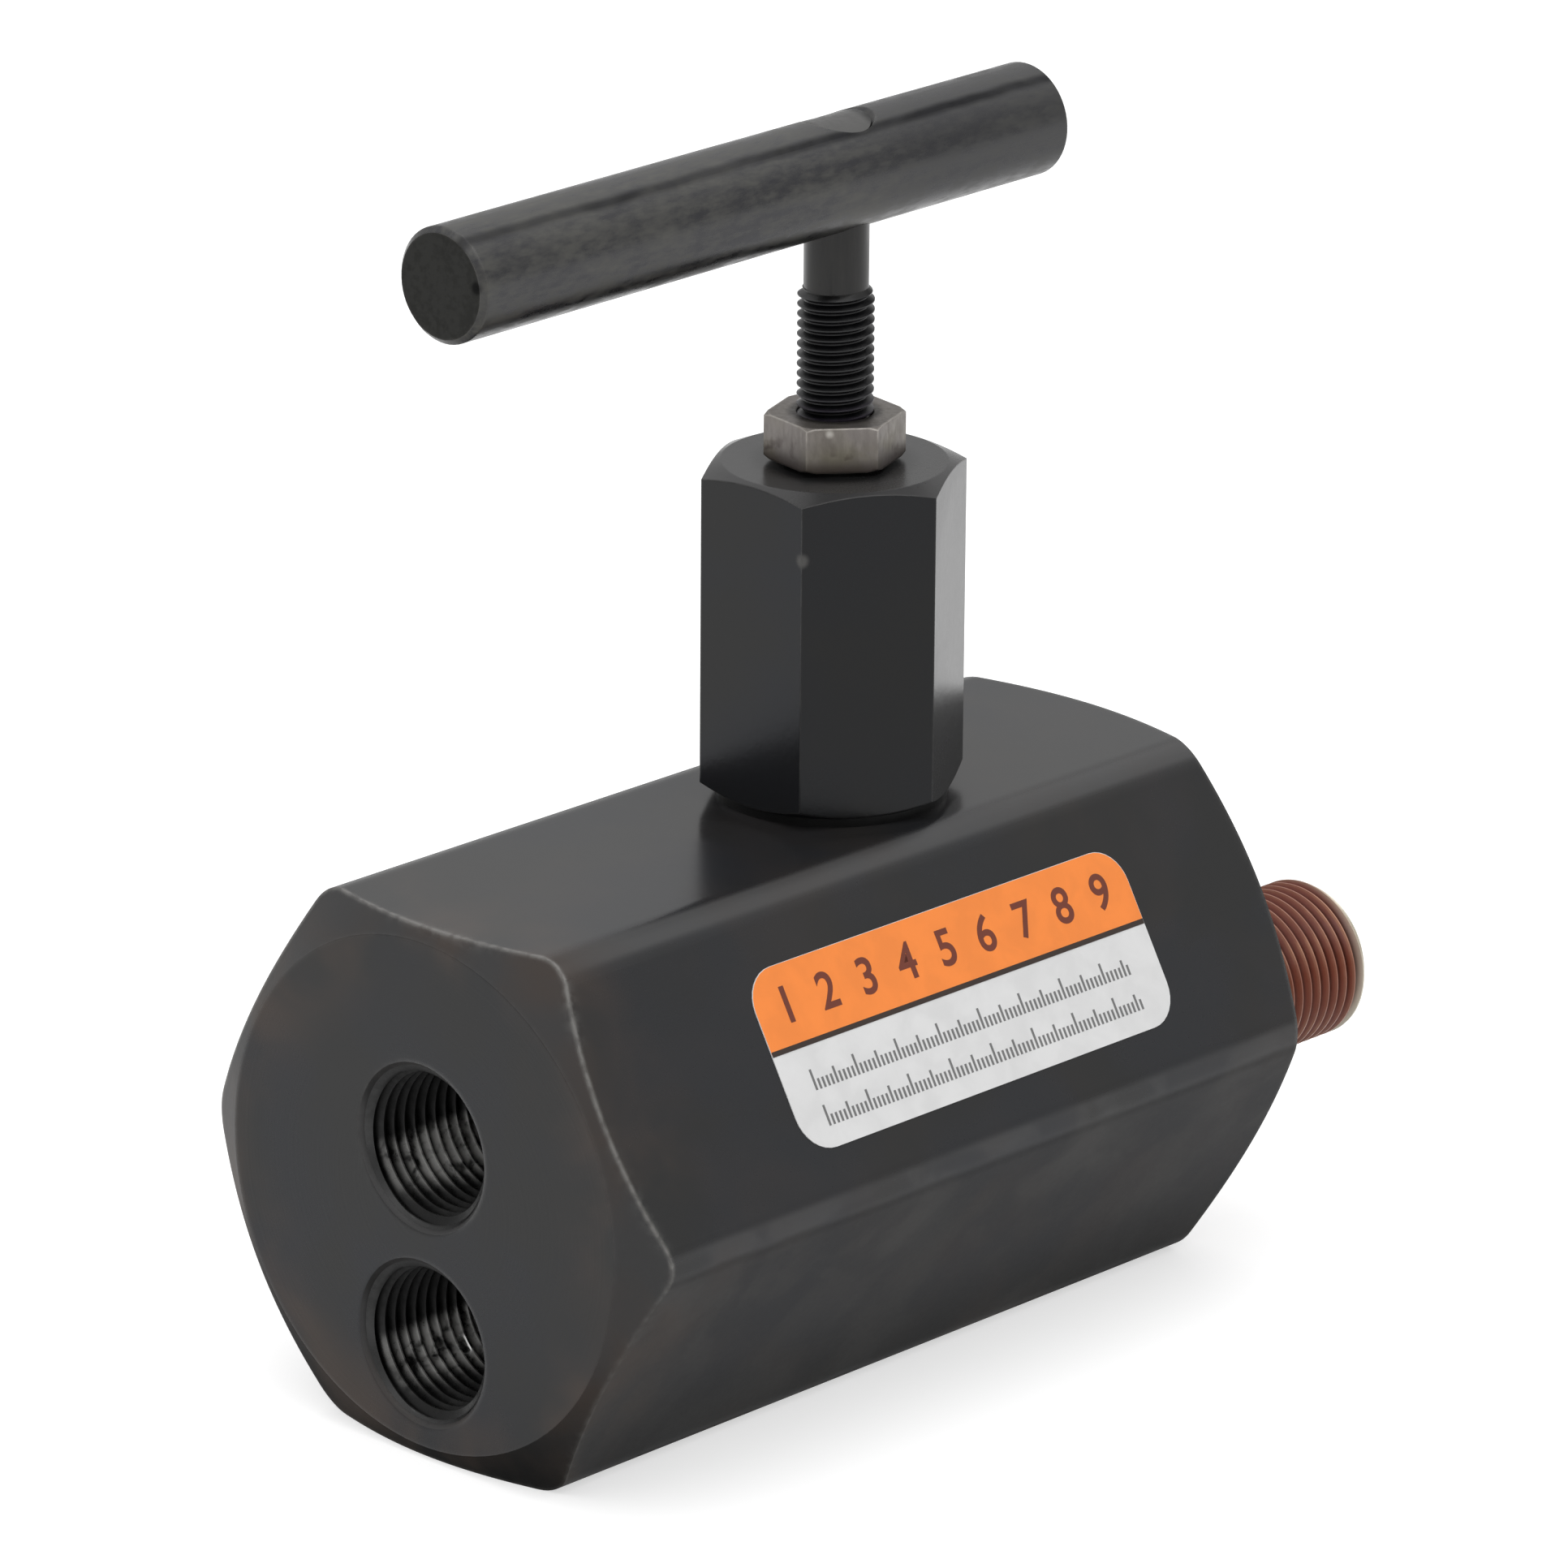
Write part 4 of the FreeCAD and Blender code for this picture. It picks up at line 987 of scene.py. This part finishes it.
def makeNipple(material):
    shape = nippleShape
    mesh = bmesh.new()
    crest = shape["crestRadius"]
    rim = crest - shape["chamfer"]
    start = shape["threadStart"]

    def radiusAt(height, share):
        root = shape["rootAtEnd"] + (nippleEnd - height) * shape["taper"]
        body = root + (crest - root) * share
        return min(body, rim + nippleEnd - height, shape["startRadius"] + height - start)

    addThread(mesh, start, nippleEnd, pipePitch, radiusAt, shape["columns"])
    bore = shape["bore"]
    lip = shape["boreLip"]
    outline = [(rim, nippleEnd), (bore + lip, nippleEnd), (bore, nippleEnd - lip), (bore, nippleLow.x),
               (rim, nippleLow.x), (crest, nippleLow.x + shape["chamfer"]),
               (crest, start - shape["runIn"]), (shape["startRadius"], start)]
    addRings(mesh, outline, shape["columns"])
    place = Matrix.Translation((0, nipplePlace.y, nipplePlace.z)) @ Matrix.Rotation(math.pi / 2, 4, "Y")
    piece = linkTurned(mesh, "nippleWithThread", "housing", material, place)
    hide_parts("port_nipple")


# Port threads: sleeves that line the two ports, open in the middle
portShape = {
    "crestRadius": 7.55 * mm,
    "depth": 1.02 * mm,
    "taper": 1 / 32,
    "endGap": 1.0 * mm,
    "columns": 96,
}


def makePortThread(name, material):
    shape = portShape
    mount = mounts[name]
    outer = mount["dims"]["r_mm"] * mm
    length = mount["dims"]["length_mm"] * mm
    mouth = mount["pos_m"][0] - length / 2
    high = length - shape["endGap"]
    mesh = bmesh.new()

    def radiusAt(height, share):
        # height is the depth from the mouth; the ridges stand inward
        crest = shape["crestRadius"] - height * shape["taper"]
        body = min(outer, crest + shape["depth"] * (1 - share))
        return min(outer, max(body, outer - height, outer - (high - height)))

    addThread(mesh, 0.0, high, pipePitch, radiusAt, shape["columns"])
    addRings(mesh, [(outer, high), (outer, 0.0)], shape["columns"])
    place = Matrix.Translation((mouth, 0, mount["pos_m"][2])) @ Matrix.Rotation(math.pi / 2, 4, "Y")
    linkTurned(mesh, name + "Thread", "housing", material, place)


# Sticker on the upper side flat: orange band with plain numbers, white field with plain scales
stickerShape = {
    "left": -24.9, "right": 31.0, "low": -10.2, "high": 9.1, "divider": 0.6,  # mm along and up the flat
    "corner": 4.0, "cornerSteps": 8, "film": 0.10, "ink": 0.02, "inkMargin": 0.05, "ruleWidth": 0.55,
    "digits": "123456789", "digitSize": 5.4, "digitHeight": 5.0, "digitWeight": 0.08,
    "digitEnds": 0.25,  # spare room at each end of the row, as a share of a digit's room
    "tickHeights": (-3.1, -6.9), "tickReach": 1.1, "tickStep": 0.62, "tickWidth": 0.30, "tickMargin": 4,
}


def stickerPlace():
    # turns (along, up, out) on the flat into the frame
    flats = bodyHigh.z - bodyLow.z
    out = Vector((0, -math.sqrt(3) / 2, 0.5))
    up = Vector((0, 0.5, math.sqrt(3) / 2))
    centre = Vector((0, 0, barMiddle)) + out * flats / 2
    return Matrix.Translation(centre) @ Matrix(((1, 0, 0), up, out)).transposed().to_4x4()


def roundedOutline(left, right, low, high, radii):
    # corner order: low left, low right, high right, high left
    corners = ((left, low, 1, 1, math.pi), (right, low, -1, 1, 1.5 * math.pi),
               (right, high, -1, -1, 0), (left, high, 1, -1, 0.5 * math.pi))
    steps = stickerShape["cornerSteps"]
    points = []
    for (x, y, inX, inY, start), radius in zip(corners, radii):
        for step in range(steps + 1 if radius else 1):
            angle = start + 0.5 * math.pi * step / steps
            reach = (radius * math.cos(angle), radius * math.sin(angle))
            points.append((x + inX * radius + reach[0], y + inY * radius + reach[1]))
    return points


def addSlab(mesh, edges, low, high, name, radii=(0, 0, 0, 0)):
    # closed slab inside (left, right, low, high) edges, in millimetres
    points = roundedOutline(*edges, radii)
    lower = [mesh.verts.new((x * mm, y * mm, low * mm)) for x, y in points]
    upper = [mesh.verts.new((x * mm, y * mm, high * mm)) for x, y in points]
    faces = [mesh.faces.new(upper), mesh.faces.new(list(reversed(lower)))]
    count = len(points)
    for spot in range(count):
        after = (spot + 1) % count
        faces.append(mesh.faces.new((lower[spot], lower[after], upper[after], upper[spot])))
    for face in faces:
        face.material_index = prints.index(name)


def addDigits(mesh, shape, base, top):
    # plain numbers in a row, from the built-in letter shapes
    room = (shape["right"] - shape["left"]) / (len(shape["digits"]) + 2 * shape["digitEnds"])
    for spot, digit in enumerate(shape["digits"]):
        curve = bpy.data.curves.new("digit", "FONT")
        curve.body = digit
        curve.size = shape["digitSize"] * mm
        curve.offset = shape["digitWeight"] * mm
        curve.extrude = (top - base) / 2 * mm
        curve.align_x = "CENTER"
        letter = bpy.data.objects.new("digit", curve)
        scene.collection.objects.link(letter)
        bpy.context.view_layer.update()
        data = bpy.data.meshes.new_from_object(letter.evaluated_get(bpy.context.evaluated_depsgraph_get()))
        along = shape["left"] + room * (spot + 0.5 + shape["digitEnds"])
        rise = (shape["divider"] + shape["high"]) / 2 - 0.35 * shape["digitHeight"]
        data.transform(Matrix.Translation((along * mm, rise * mm, (base + top) / 2 * mm)))
        before = len(mesh.faces)
        mesh.from_mesh(data)
        mesh.faces.ensure_lookup_table()
        for face in mesh.faces[before:]:
            face.material_index = prints.index("digit")
        bpy.data.objects.remove(letter)
        bpy.data.meshes.remove(data)


def makeSticker():
    shape = stickerShape
    mesh = bmesh.new()
    film = shape["film"]
    ink = film + shape["ink"]
    overprint = ink + shape["ink"]
    corner = shape["corner"]
    divider = shape["divider"]
    half = shape["ruleWidth"] / 2
    left, right = shape["left"], shape["right"]
    inkLeft, inkRight = left + shape["inkMargin"], right - shape["inkMargin"]
    addSlab(mesh, (left, right, shape["low"], shape["high"]), 0, film, "white", (corner,) * 4)
    addSlab(mesh, (inkLeft, inkRight, divider, shape["high"] - shape["inkMargin"]), film, ink, "orange",
            (0, 0, corner, corner))
    addSlab(mesh, (inkLeft, inkRight, divider - half, divider + half), ink, overprint, "rule")
    addDigits(mesh, shape, ink, overprint)
    reach = shape["tickReach"]
    for middle in shape["tickHeights"]:
        for spot in range(int((right - left - 2 * shape["tickMargin"]) / shape["tickStep"])):
            along = left + shape["tickMargin"] + spot * shape["tickStep"]
            tall = reach if spot % 10 == 0 else (0.8 * reach if spot % 5 == 0 else 0.5 * reach)
            edges = (along, along + shape["tickWidth"], middle - reach, middle - reach + 2 * tall)
            addSlab(mesh, edges, film, ink, "tick")
    materials = [makePrint(name) for name in prints]
    piece = linkPiece(mesh, "sticker", materials, stickerPlace())
    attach(piece, "housing")


# Floor, light and background
stageValues = {
    "floorSize": 8.0,
    "floorGap": 0.02 * mm,  # under the body
    "floorColour": (0.60, 0.60, 0.60),
    "floorRoughness": 0.9,
    "floorGlow": 0.58,
    "worldLow": 0.60,  # near the horizon
    "worldHigh": 1.05,  # overhead
    "worldRise": (0.30, 0.80),  # heights of direction between which the sky grows brighter
    "lampSize": 1.2,
    "lampPlace": (-0.15, -0.15, 1.1),
    "lampTarget": (0, 0, 0.05),
    "lampPower": 5.5,
}


def seenDirectly(tree):
    # 1 for camera, mirror and glass rays
    rays = addNode(tree, "ShaderNodeLightPath").outputs
    return larger(larger(rays["Is Camera Ray"], rays["Is Glossy Ray"]), rays["Is Transmission Ray"])


def makeStage():
    values = stageValues
    mesh = bmesh.new()
    half = values["floorSize"] / 2
    corners = [(-half, -half), (half, -half), (half, half), (-half, half)]
    mesh.faces.new([mesh.verts.new((x, y, 0)) for x, y in corners])
    data = bpy.data.meshes.new("floor")
    mesh.to_mesh(data)
    mesh.free()
    floor = bpy.data.objects.new("floor", data)
    scene.collection.objects.link(floor)
    floor.location.z = bodyLow.z - values["floorGap"]
    material, tree, shader = newMaterial("floorPaper", roughness=values["floorRoughness"])
    feed(values["floorColour"], shader.inputs["Base Color"])
    feed((1, 1, 1), shader.inputs["Emission Color"])
    feed(times(seenDirectly(tree), values["floorGlow"]), shader.inputs["Emission Strength"])
    data.materials.append(material)

    world = bpy.data.worlds.new("paleStudio")
    world.use_nodes = True
    scene.world = world
    sky = world.node_tree
    background = sky.nodes["Background"]
    upward = parts(addNode(sky, "ShaderNodeTexCoord").outputs["Generated"])["Z"]
    feed((1, 1, 1), background.inputs["Color"])
    strength = ramp(upward, *values["worldRise"], values["worldLow"], values["worldHigh"])
    join(strength, background.inputs["Strength"])

    lamp = bpy.data.lights.new("overhead", "AREA")
    lamp.shape = "SQUARE"
    lamp.size = values["lampSize"]
    lamp.energy = values["lampPower"]
    light = bpy.data.objects.new("overhead", lamp)
    light.location = values["lampPlace"]
    aim = Vector(values["lampTarget"]) - light.location
    light.rotation_euler = aim.to_track_quat("-Z", "Y").to_euler()
    scene.collection.objects.link(light)


makeStage()
print("stage set")

screwSteel = makeScrewMaterial()
nippleCoat = makeNippleMaterial()
finishes = {
    "valve_body": makeBodyOxide(), "bonnet": makeBonnetOxide(), "t_handle": makeHandleMaterial(),
    "jam_nut": makeNutMaterial(), "adjusting_screw": screwSteel, "port_nipple": nippleCoat,
}
for plainName, plainFinish in plainValues.items():
    finishes.update(dict.fromkeys(plainFinish["nodes"], makePlain(plainName)))
for nodeName, finish in finishes.items():
    nodes[nodeName].data.materials.clear()
    nodes[nodeName].data.materials.append(finish)
print("finishes set:", len(finishes))

makeScrew(screwSteel)
makeNipple(nippleCoat)
makePortThread("port_1", makePortOxide("port_1", hasBurr=False))
makePortThread("port_2", makePortOxide("port_2", hasBurr=True))
print("threads cut")
makeSticker()
print("sticker laid")
